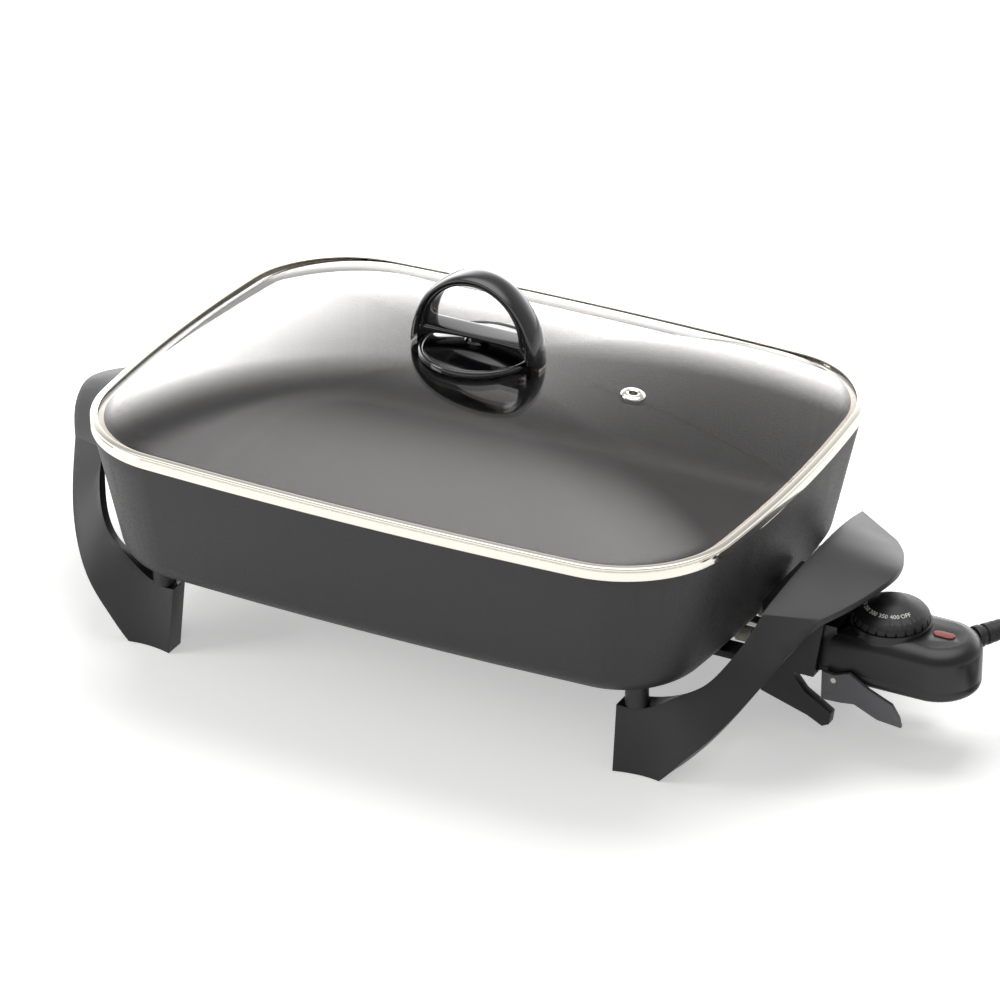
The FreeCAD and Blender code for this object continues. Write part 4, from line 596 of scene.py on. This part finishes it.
class SKILLET_OT_vent(bpy.types.Operator):
    """Turns the flared steel eyelet of the steam vent and tilts it onto the glass."""

    bl_idname = "skillet.vent"
    bl_label = "Vent"

    def execute(self, context):
        sizes = context.scene.skillet_sizes
        eyelet = turned_piece("steam_eyelet", [(r * MM, z * MM) for r, z in EYELET],
                              smooth=40.0)
        low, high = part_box("vent_eyelet")
        seat = (sizes.vent_x, (low.y + high.y) / 2, high.z - VENT_SEAT)
        only(eyelet)
        eyelet.matrix_world = (Matrix.Translation(seat)
                               @ Matrix.Rotation(math.atan(VENT_SLOPE), 4, "Y"))
        bpy.ops.object.transform_apply(location=True, rotation=True, scale=True)
        give(eyelet, MATERIALS["steel"])
        settle(eyelet, "lid", "polished_steel", "vent_eyelet")
        return {"FINISHED"}


def grid_piece(name, rows, columns, place):
    """Skin of rows and columns of points, each given by place(row share, column share)."""
    bpy.ops.object.select_all(action="DESELECT")
    bpy.ops.mesh.primitive_grid_add(x_subdivisions=columns, y_subdivisions=rows, size=2.0)
    piece = bpy.context.active_object
    piece.name = name
    for vertex in piece.data.vertices:
        column = (vertex.co.x + 1) / 2
        row = (vertex.co.y + 1) / 2
        vertex.co = place(row, column)
    return piece


def fill_holes(piece):
    """Closes the open ends of a skin."""
    only(piece)
    bpy.ops.object.mode_set(mode="EDIT")
    bpy.ops.mesh.select_mode(type="VERT")
    bpy.ops.mesh.select_all(action="SELECT")
    bpy.ops.mesh.remove_doubles(threshold=WELD)
    bpy.ops.mesh.select_all(action="DESELECT")
    bpy.ops.mesh.select_non_manifold()
    bpy.ops.mesh.edge_face_add()
    bpy.ops.object.mode_set(mode="OBJECT")


# Half section of the arch, from its crown to its inner face: how far in (share of the
# wall) and how far from the middle plane (share of half the width)
ARCH_SECTION = (
    (0.0, 0.0), (0.01, 0.3), (0.045, 0.6), (0.13, 0.86), (0.24, 0.975), (0.38, 1.0),
    (0.56, 1.0), (0.60, 0.985), (0.615, 0.90), (0.66, 0.885), (0.69, 0.90), (0.71, 0.935),
    (0.78, 0.945), (0.9, 0.93), (0.97, 0.87), (1.0, 0.76), (1.0, 0.4), (1.0, 0.0),
)


class SKILLET_OT_lid_handle(bpy.types.Operator):
    """Models the polished finger arch, the bar across its foot and the ridged base disc."""

    bl_idname = "skillet.lid_handle"
    bl_label = "Lid handle"

    def execute(self, context):
        self.make_arch()
        self.make_disc()
        finish_nodes([("lid_handle_seal", "silicone"), ("lid_washer", "steel"),
                      ("lid_screw", "zinc")])
        return {"FINISHED"}

    def make_arch(self):
        """Closed loop: the arch's band, then the bar that joins its feet."""
        low = ARCH_LOW.z
        half = Vector((ARCH_HIGH.x, 0, ARCH_HIGH.z - low))
        width = ARCH_HIGH.y
        floor = 14.0 * MM
        side, crown = 11.5 * MM, 5.6 * MM
        opening = Vector((half.x - side, 0, half.z - floor - crown))
        under_rise, disc_top = 7.0 * MM, 4.0 * MM + 0.4 * MM
        under_half = 33.2 * MM
        section = list(ARCH_SECTION) + [(into, -out) for into, out in ARCH_SECTION[-2:0:-1]]
        count = len(section)
        band_rows, bar_rows = 64, 40

        def band_point(share):
            angle = math.pi * share
            inner_angle = math.pi * (0.5 + (share - 0.5) * 0.985)
            outer = Vector((half.x * math.cos(angle), 0, low + half.z * math.sin(angle)))
            inner = Vector((opening.x * math.cos(inner_angle), 0,
                            low + floor + opening.z * max(0.0, math.sin(inner_angle))))
            return outer, inner

        def place(row, column):
            into, out = section[round(column * count) % count]
            outer, inner = band_point(row)
            spot = outer.lerp(inner, into)
            return spot + Vector((0, width * out, 0))

        arch = grid_piece("finger_arch", band_rows, count, place)
        fill_holes(arch)
        close_up(arch, 38.0)
        give(arch, MATERIALS["gloss"])

        def bar_place(row, column):
            angle = math.tau * (column + 0.125)
            x = (row * 2 - 1) * (half.x - 6.0 * MM)
            lean = min(1.0, abs(x) / under_half)
            bottom = low + disc_top + under_rise * math.sqrt(1 - lean ** 2)
            if abs(x) > under_half:
                bottom = low + 0.2 * MM
            top = low + floor + 0.6 * MM * (x / opening.x) ** 2
            middle, rise = (top + bottom) / 2, (top - bottom) / 2
            depth = width * 0.93
            power = 0.35
            up = math.copysign(abs(math.sin(angle)) ** power, math.sin(angle))
            out = math.copysign(abs(math.cos(angle)) ** power, math.cos(angle))
            return Vector((x, depth * out, middle + rise * up))

        bar = grid_piece("arch_bar", bar_rows, 32, bar_place)
        fill_holes(bar)
        close_up(bar, 38.0)
        give(bar, MATERIALS["gloss"])
        settle(arch, "lid", "gloss_phenolic", "lid_handle")
        settle(bar, "lid", "gloss_phenolic")
        hub = turned_piece("arch_hub", [
            (0.0, low + 8.0 * MM), (7.5 * MM, low + 8.0 * MM), (6.6 * MM, low + 9.2 * MM),
            (6.8 * MM, low + 11.6 * MM), (0.0, low + 11.6 * MM)], steps=64)
        give(hub, MATERIALS["gloss"])
        settle(hub, "lid", "gloss_phenolic")

    def make_disc(self):
        """Stepped rim and dome, with fine parallel ridges behind the bar."""
        low, radius, top = DISC_LOW.z, DISC_HIGH.x, DISC_HIGH.z
        mm = [(2.7, 1.2), (11.3, 1.2), (11.3, 0.0), (32.4, 0.0), (33.0, 0.5), (33.0, 3.0),
              (32.6, 3.7), (31.8, 4.0), (31.0, 3.8), (30.6, 3.3), (30.2, 3.4)]
        dome = [(share * 30.0, 3.5 + 4.5 * (1 - share ** 2)) for share in
                [1 - step / 60 for step in range(55)]]
        points = [(r * MM * radius / (33.0 * MM), low + z * MM) for r, z in mm + dome]
        points.append((2.7 * MM, min(top, points[-1][1])))
        disc = turned_piece("arch_base", points, steps=160, smooth=50.0)
        pitch, ridge, front = 2.6 * MM, 0.28 * MM, 9.0 * MM
        step, end = 3.4 * MM, 29.5 * MM
        for vertex in disc.data.vertices:
            spot = vertex.co
            reach = math.hypot(spot.x, spot.y)
            if spot.z > low + step and reach < end and spot.y > front:
                wave = abs(math.sin(math.pi * (spot.y - front) / pitch))
                spot.z -= ridge * (1 - wave ** 0.5)
        give(disc, MATERIALS["gloss"])
        settle(disc, "lid", "gloss_phenolic", "lid_handle_base")


class SKILLET_OT_control(bpy.types.Operator):
    """Finishes the plug-in control's shells, lens and inner works."""

    bl_idname = "skillet.control"
    bl_label = "Control"

    def execute(self, context):
        for node, name, width in (("control_upper_shell", "control_cover", 0.9),
                                  ("control_lower_shell", "control_tray", 0.4)):
            shell = bevelled(copied_node(node, name), width)
            give(shell, MATERIALS["control"])
            settle(shell, "control", "control_plastic", node)
        lens = bevelled(copied_node("lamp_lens", "lamp_window"), 0.2, 2)
        give(lens, MATERIALS["lens"])
        settle(lens, "control", "red_lens", "lamp_lens")
        finish_nodes([
            ("control_screws", "zinc"), ("neon_lamp", "glass"), ("lamp_resistor", "ceramic"),
            ("probe_rod", "nickel"), ("contact_sockets", "brass"), ("thermostat_frame", "zinc"),
            ("ceramic_spacers", "ceramic"), ("contact_arm", "brass"),
            ("bimetal_blade", "nickel"), ("stack_rivet", "zinc"), ("inner_leads", "sleeve"),
            ("lever_pins", "nickel"), ("dial_spindle", "nickel")])
        return {"FINISHED"}


# Dial labels from OFF, clockwise seen from above, and their step round the dial
LABELS = ("OFF", "400", "350", "300", "250", "200", "WARM")
LABEL_STEP = 25.0
FIRST_LABEL = -36.0


class SKILLET_OT_dial(bpy.types.Operator):
    """Turns the ribbed temperature dial and prints its numbers."""

    bl_idname = "skillet.dial"
    bl_label = "Dial"

    def execute(self, context):
        dial = bevelled(copied_node("dial", "temperature_dial"), 0.25, 2)
        give(dial, MATERIALS["dial"])
        settle(dial, "dial", "dial_plastic", "dial")
        labels = self.print_labels()
        give(labels, MATERIALS["print"])
        settle(labels, "dial", "dial_plastic")
        return {"FINISHED"}

    def print_labels(self):
        """Numbers on the dial's cone, tops towards the middle, as one thin mesh."""
        centre_x = (DIAL_LOW.x + DIAL_HIGH.x) / 2
        rim, crown = 18.7 * MM, 8.8 * MM
        rim_height, crown_height = DIAL_LOW.z + 6.0 * MM, DIAL_HIGH.z - 0.6 * MM
        slope = math.atan2(crown_height - rim_height, rim - crown)
        reach = 14.4 * MM
        height = rim_height + (rim - reach) * math.tan(slope)
        pieces = []
        for index, label in enumerate(LABELS):
            bpy.ops.object.select_all(action="DESELECT")
            bpy.ops.object.text_add()
            text = bpy.context.active_object
            text.data.body = label
            text.data.align_x = "CENTER"
            text.data.align_y = "CENTER"
            text.data.size = 3.5 * MM
            text.data.extrude = 0.03 * MM
            text.data.offset = 0.05 * MM
            text.data.resolution_u = 3
            bpy.ops.object.convert(target="MESH")
            angle = math.radians(FIRST_LABEL - LABEL_STEP * index)
            spot = Vector((centre_x + reach * math.cos(angle), reach * math.sin(angle),
                           height + 0.05 * MM))
            text.matrix_world = (Matrix.Translation(spot)
                                 @ Matrix.Rotation(angle + math.pi / 2, 4, "Z")
                                 @ Matrix.Rotation(slope, 4, "X"))
            bpy.ops.object.transform_apply(location=True, rotation=True, scale=True)
            pieces.append(text)
        bpy.ops.object.select_all(action="DESELECT")
        for piece in pieces:
            piece.select_set(True)
        bpy.context.view_layer.objects.active = pieces[0]
        bpy.ops.object.join()
        pieces[0].name = "dial_numbers"
        return pieces[0]


class SKILLET_OT_lever(bpy.types.Operator):
    """Softens the pressed edges of the release lever."""

    bl_idname = "skillet.lever"
    bl_label = "Release lever"

    def execute(self, context):
        lever = bevelled(copied_node("release_lever", "lever_fork"), 0.6, 3)
        give(lever, MATERIALS["lever"])
        settle(lever, "lever", "lever_plastic", "release_lever")
        return {"FINISHED"}


# The cord's centre line on the worktop, the coil's first side and middle, in millimetres, the
# corners of a half turn, and how far the climb is drawn in
CORD_Z = 4.5
COIL_X = 413.0
COIL_Y = 51.0
COIL_STEPS = 10
CLIMB_DRAW = 0.6

# Corners of the cord's route between the strain relief and the coil, in millimetres
LEAD_CORNERS = (
    (341.4, 106.3, 35.0), (360.6, 117.4, 21.0), (382.8, 117.4, 11.0), (402.0, 106.3, 6.0),
    (COIL_X, 87.0, CORD_Z), (COIL_X, 65.0, CORD_Z),
)

# Straight runs, in millimetres: out of the sleeve, then along the tail to the plug
LEAD_RUN = 24.0
TAIL_RUNS = (12.0, 32.0)

# The strain relief's axis, in millimetres: the lobe's centre, its turn, height and tip
LOBE_X = 280.0
RELIEF_ANGLE = math.radians(60.0)
RELIEF_HEIGHT = 57.0
RELIEF_TIP = 62.3


def relief_axis(distance):
    """Point on the strain relief's axis, in metres, from the lobe's centre."""
    return Vector((LOBE_X + distance * math.cos(RELIEF_ANGLE),
                   distance * math.sin(RELIEF_ANGLE), RELIEF_HEIGHT)) * MM


def coil_points(sizes):
    """Corners round the coil: inwards below, one climb, then outwards on top."""
    side_x, middle_y, low = COIL_X * MM, COIL_Y * MM, CORD_Z * MM
    pitch = sizes.cord_pitch
    sides = [side_x, side_x - 2 * sizes.coil_radius, side_x - pitch]
    sides.append(sides[1] + pitch)
    sides.append(sides[2] - pitch + CLIMB_DRAW * MM)
    sides.append(sides[1] + pitch / 2)
    sides.append(sides[0] - pitch / 2)
    heights = [low, low, low, low, low + pitch, low + pitch, low + pitch]
    steps = COIL_STEPS
    points = []
    for turn in range(len(sides) - 1):
        centre = (sides[turn] + sides[turn + 1]) / 2
        radius = abs(sides[turn] - sides[turn + 1]) / 2
        outward = radius / math.cos(math.pi / steps / 2)
        swing = -1 if turn % 2 == 0 else 1
        for step in range(steps):
            angle = math.pi * (step + 0.5) / steps
            along = (1 - math.cos(angle)) / 2
            reach = (sides[turn] - centre) / radius * outward * math.cos(angle)
            points.append(Vector((centre + reach, middle_y + swing * outward * math.sin(angle),
                                  heights[turn] + (heights[turn + 1] - heights[turn]) * along)))
    return points, Vector((sides[-1], middle_y, heights[-1]))


class SKILLET_OT_cord(bpy.types.Operator):
    """Lays the mains cord, its sleeve, the put-away coil, its tie and the plug."""

    bl_idname = "skillet.cord"
    bl_label = "Cord and plug"

    def execute(self, context):
        sizes = context.scene.skillet_sizes
        cord = self.lay_cord(sizes)
        sleeve = self.make_sleeve()
        plug = bevelled(copied_node("plug_body", "mains_plug"), 1.2, 3)
        give(plug, MATERIALS["vinyl"])
        settle(plug, "control", "cord_vinyl", "plug_body")
        blades = bevelled(copied_node("plug_blades", "plug_pins"), 0.3, 2)
        give(blades, MATERIALS["brass"])
        settle(blades, "control", "brass", "plug_blades")
        tie = bevelled(copied_node("cord_tie", "wire_tie"), 0.15, 2)
        give(tie, MATERIALS["guard"])
        settle(tie, "control", "tie_plastic", "cord_tie")
        return {"FINISHED"}

    def lay_cord(self, sizes):
        """One smooth spline from the sleeve's tip to the plug."""
        coil, end = coil_points(sizes)
        route = [relief_axis(RELIEF_TIP), relief_axis(RELIEF_TIP + LEAD_RUN)]
        route += [Vector(corner) * MM for corner in LEAD_CORNERS]
        route += coil
        route += [end - Vector((0, run * MM, 0)) for run in TAIL_RUNS]
        curve = bpy.data.curves.new("mains_cord", "CURVE")
        curve.dimensions = "3D"
        spline = curve.splines.new("NURBS")
        spline.points.add(len(route) - 1)
        for spot, point in zip(route, spline.points):
            point.co = (*spot, 1.0)
        spline.order_u = 3
        spline.use_endpoint_u = True
        spline.resolution_u = 8
        curve.bevel_depth = sizes.cord
        curve.bevel_resolution = 5
        curve.use_fill_caps = True
        cord = bpy.data.objects.new("mains_cord", curve)
        bpy.context.scene.collection.objects.link(cord)
        give(cord, MATERIALS["vinyl"])
        settle(cord, "control", "cord_vinyl", "cord_lead", "cord_coil")
        return cord

    def make_sleeve(self):
        """Tapered strain relief with a collar and shallow flex ribs."""
        mm = [(0.0, 16.4), (5.7, 16.4), (5.7, 18.6), (4.7, 18.6), (4.7, 24.3), (6.1, 24.4),
              (6.4, 24.9), (6.4, 27.8), (6.1, 28.3), (5.2, 28.9), (5.2, 30.3), (6.0, 30.9)]
        ribs, start, end = 7, 31.0, 60.0
        for rib in range(ribs):
            here = start + (end - start) * rib / ribs
            wide = 6.1 - 1.25 * (rib + 0.5) / ribs
            run = (end - start) / ribs
            mm += [(wide, here + run * 0.1), (wide, here + run * 0.62),
                   (wide - 0.45, here + run * 0.72), (wide - 0.45, here + run * 0.95)]
        mm += [(4.65, 60.3), (4.7, 61.8), (4.3, RELIEF_TIP), (0.0, RELIEF_TIP)]
        sleeve = turned_piece("flex_sleeve", [(r * MM, z * MM) for r, z in mm], steps=64)
        only(sleeve)
        sleeve.matrix_world = (Matrix.Translation(relief_axis(0.0))
                               @ Matrix.Rotation(RELIEF_ANGLE, 4, "Z")
                               @ Matrix.Rotation(math.pi / 2, 4, "Y"))
        bpy.ops.object.transform_apply(location=True, rotation=True, scale=True)
        give(sleeve, MATERIALS["vinyl"])
        settle(sleeve, "control", "cord_vinyl", "strain_relief")
        return sleeve


# Light of the panel behind and of the ceiling, and how much darker the space between is
PANEL_LEVEL = 3.4
CEILING_LEVEL = 2.2
CEILING_DROP = 0.35

# Way from the skillet to the panel, the surround as light and as seen, and the floor's glow
PANEL_WAY = (-0.46, 0.89, 0.0)
SKY_LIGHT = 0.36
SKY_SEEN = 0.9
FLOOR_GLOW = 0.42

# Lamps: name, place, aim and size in metres, and power
LAMPS = (
    ("overhead", (-0.15, 0.55, 1.6), (0, 0, 0.1), 1.3, 20.0),
    ("left_box", (-1.7, -1.1, 0.8), (0, 0, 0.08), 0.9, 16.0),
    ("front_fill", (0.5, -1.9, 0.8), (0, 0, 0.1), 1.0, 3.0),
)


class SKILLET_OT_stage(bpy.types.Operator):
    """Sets the pale floor, soft lamps, white surround and camera."""

    bl_idname = "skillet.stage"
    bl_label = "Stage"

    def execute(self, context):
        self.lay_floor()
        self.light_world(context.scene)
        self.hang_lamps()
        self.set_camera(context.scene)
        context.scene.view_settings.view_transform = "Standard"
        return {"FINISHED"}

    def seen_rays(self, tree):
        """1 for camera, glossy and transmission rays that haven't scattered, else 0."""
        path = add_node(tree, "ShaderNodeLightPath").outputs
        direct = combine(tree, "LESS_THAN", path["Diffuse Depth"], 0.5)
        seen = combine(tree, "MAXIMUM", path["Is Camera Ray"], path["Is Glossy Ray"])
        seen = combine(tree, "MAXIMUM", seen, path["Is Transmission Ray"])
        return combine(tree, "MULTIPLY", seen, direct)

    def back_panel(self, tree):
        """Glossy rays' extra light: a broad panel low behind the skillet, and the ceiling."""
        way = add_node(tree, "ShaderNodeTexCoord").outputs["Generated"]
        behind = add_node(tree, "ShaderNodeVectorMath", {"operation": "DOT_PRODUCT"})
        behind.inputs[1].default_value = PANEL_WAY
        tree.links.new(way, behind.inputs[0])
        facing = add_node(tree, "ShaderNodeMapRange",
                          {"From Min": 0.35, "From Max": 0.85, "interpolation_type": "SMOOTHSTEP"},
                          {"Value": behind.outputs["Value"]})
        height = add_node(tree, "ShaderNodeSeparateXYZ", None, {"Vector": way})
        low = add_node(tree, "ShaderNodeMapRange",
                       {"From Min": 0.62, "From Max": 0.12, "interpolation_type": "SMOOTHSTEP"},
                       {"Value": height.outputs["Z"]})
        path = add_node(tree, "ShaderNodeLightPath")
        level = combine(tree, "MULTIPLY", facing.outputs["Result"], low.outputs["Result"])
        ceiling = add_node(tree, "ShaderNodeMapRange",
                           {"From Min": 0.66, "From Max": 0.98, "To Min": -CEILING_DROP,
                            "To Max": CEILING_LEVEL, "interpolation_type": "SMOOTHSTEP"},
                           {"Value": height.outputs["Z"]})
        total = combine(tree, "MULTIPLY_ADD", level, PANEL_LEVEL, ceiling.outputs["Result"])
        return combine(tree, "MULTIPLY", total, path.outputs["Is Glossy Ray"])

    def lay_floor(self):
        """Pale matt floor that glows a little for the rays that see it."""
        bpy.ops.object.select_all(action="DESELECT")
        bpy.ops.mesh.primitive_plane_add(size=14.0, location=(0, 0, -0.0004))
        floor = bpy.context.active_object
        floor.name = "floor"
        made = bpy.data.materials.new("pale_floor")
        made.use_nodes = True
        tree = made.node_tree
        tree.nodes.clear()
        pale = linear("#f1f1ef")
        matt = add_node(tree, "ShaderNodeBsdfDiffuse", {"Color": pale})
        lift = combine(tree, "MULTIPLY", self.seen_rays(tree), FLOOR_GLOW)
        glow = add_node(tree, "ShaderNodeEmission", {"Color": (1, 1, 1, 1)},
                        {"Strength": lift})
        both = add_node(tree, "ShaderNodeAddShader")
        tree.links.new(matt.outputs[0], both.inputs[0])
        tree.links.new(glow.outputs[0], both.inputs[1])
        out = add_node(tree, "ShaderNodeOutputMaterial")
        tree.links.new(both.outputs[0], out.inputs["Surface"])
        give(floor, made)

    def light_world(self, scene):
        """White surround, dimmer as light on the skillet than as it is seen."""
        world = bpy.data.worlds.new("white_surround")
        scene.world = world
        world.use_nodes = True
        tree = world.node_tree
        tree.nodes.clear()
        level = add_node(tree, "ShaderNodeMapRange",
                         {"From Min": 0.0, "From Max": 1.0, "To Min": SKY_LIGHT,
                          "To Max": SKY_SEEN},
                         {"Value": self.seen_rays(tree)})
        total = combine(tree, "ADD", level.outputs["Result"], self.back_panel(tree))
        sky = add_node(tree, "ShaderNodeBackground", {"Color": (1, 1, 1, 1)},
                       {"Strength": total})
        out = add_node(tree, "ShaderNodeOutputWorld")
        tree.links.new(sky.outputs[0], out.inputs["Surface"])

    def hang_lamps(self):
        """Broad softboxes: one overhead behind, one at the left, one low fill in front."""
        for name, spot, aim, size, power in LAMPS:
            data = bpy.data.lights.new(name, "AREA")
            data.shape = "RECTANGLE"
            data.size = size
            data.size_y = size * 0.7
            data.energy = power
            lamp = bpy.data.objects.new(name, data)
            lamp.location = spot
            lamp.visible_glossy = name == "left_box"
            lamp.visible_camera = False
            lamp.visible_transmission = False
            way = Vector(aim) - Vector(spot)
            lamp.rotation_euler = way.to_track_quat("-Z", "Y").to_euler()
            bpy.context.scene.collection.objects.link(lamp)

    def set_camera(self, scene):
        """Camera at the place fitted to the photograph."""
        view = scene.skillet_camera
        turn, lift = view.azimuth, view.elevation
        back = Vector((math.sin(turn) * math.cos(lift), -math.cos(turn) * math.cos(lift),
                       math.sin(lift)))
        right = Vector((math.cos(turn), math.sin(turn), 0))
        up = back.cross(right)
        target = right * view.across + up * view.above
        data = bpy.data.cameras.new("photo_camera")
        data.sensor_width = 36.0
        data.lens = view.lens
        data.clip_start, data.clip_end = 0.05, 60.0
        camera = bpy.data.objects.new("photo_camera", data)
        place = Matrix((right, up, back)).transposed().to_4x4()
        camera.matrix_world = Matrix.Translation(target + back * view.distance) @ place
        scene.collection.objects.link(camera)
        scene.camera = camera


class SKILLET_PT_panel(bpy.types.Panel):
    """Lists the skillet's sizes, colours and pieces."""

    bl_idname = "SKILLET_PT_panel"
    bl_label = "Electric Skillet"
    bl_space_type = "VIEW_3D"
    bl_region_type = "UI"
    bl_category = "Skillet"

    def draw(self, context):
        layout = self.layout
        for operator in OPERATORS:
            layout.operator(operator.bl_idname)
        for group in ("skillet_sizes", "skillet_colours", "skillet_camera"):
            holder = getattr(context.scene, group)
            for name in type(holder).__annotations__:
                layout.prop(holder, name)


OPERATORS = (SKILLET_OT_stage, SKILLET_OT_cord, SKILLET_OT_pan, SKILLET_OT_handles,
             SKILLET_OT_ring, SKILLET_OT_glass, SKILLET_OT_vent, SKILLET_OT_lid_handle,
             SKILLET_OT_control, SKILLET_OT_dial, SKILLET_OT_lever)
GROUPS = (("skillet_sizes", SkilletSizes), ("skillet_colours", SkilletColours),
          ("skillet_camera", SkilletCamera))


def register():
    for name, group in GROUPS:
        bpy.utils.register_class(group)
        setattr(bpy.types.Scene, name, bpy.props.PointerProperty(type=group))
    for operator in OPERATORS:
        bpy.utils.register_class(operator)
    bpy.utils.register_class(SKILLET_PT_panel)


def unregister():
    bpy.utils.unregister_class(SKILLET_PT_panel)
    for operator in reversed(OPERATORS):
        bpy.utils.unregister_class(operator)
    for name, group in reversed(GROUPS):
        delattr(bpy.types.Scene, name)
        bpy.utils.unregister_class(group)


def main():
    """Makes every piece in order."""
    register()
    MATERIALS.update(make_materials())
    for operator in OPERATORS:
        group, name = operator.bl_idname.split(".")
        getattr(getattr(bpy.ops, group), name)()


if __name__ == "__main__":
    main()
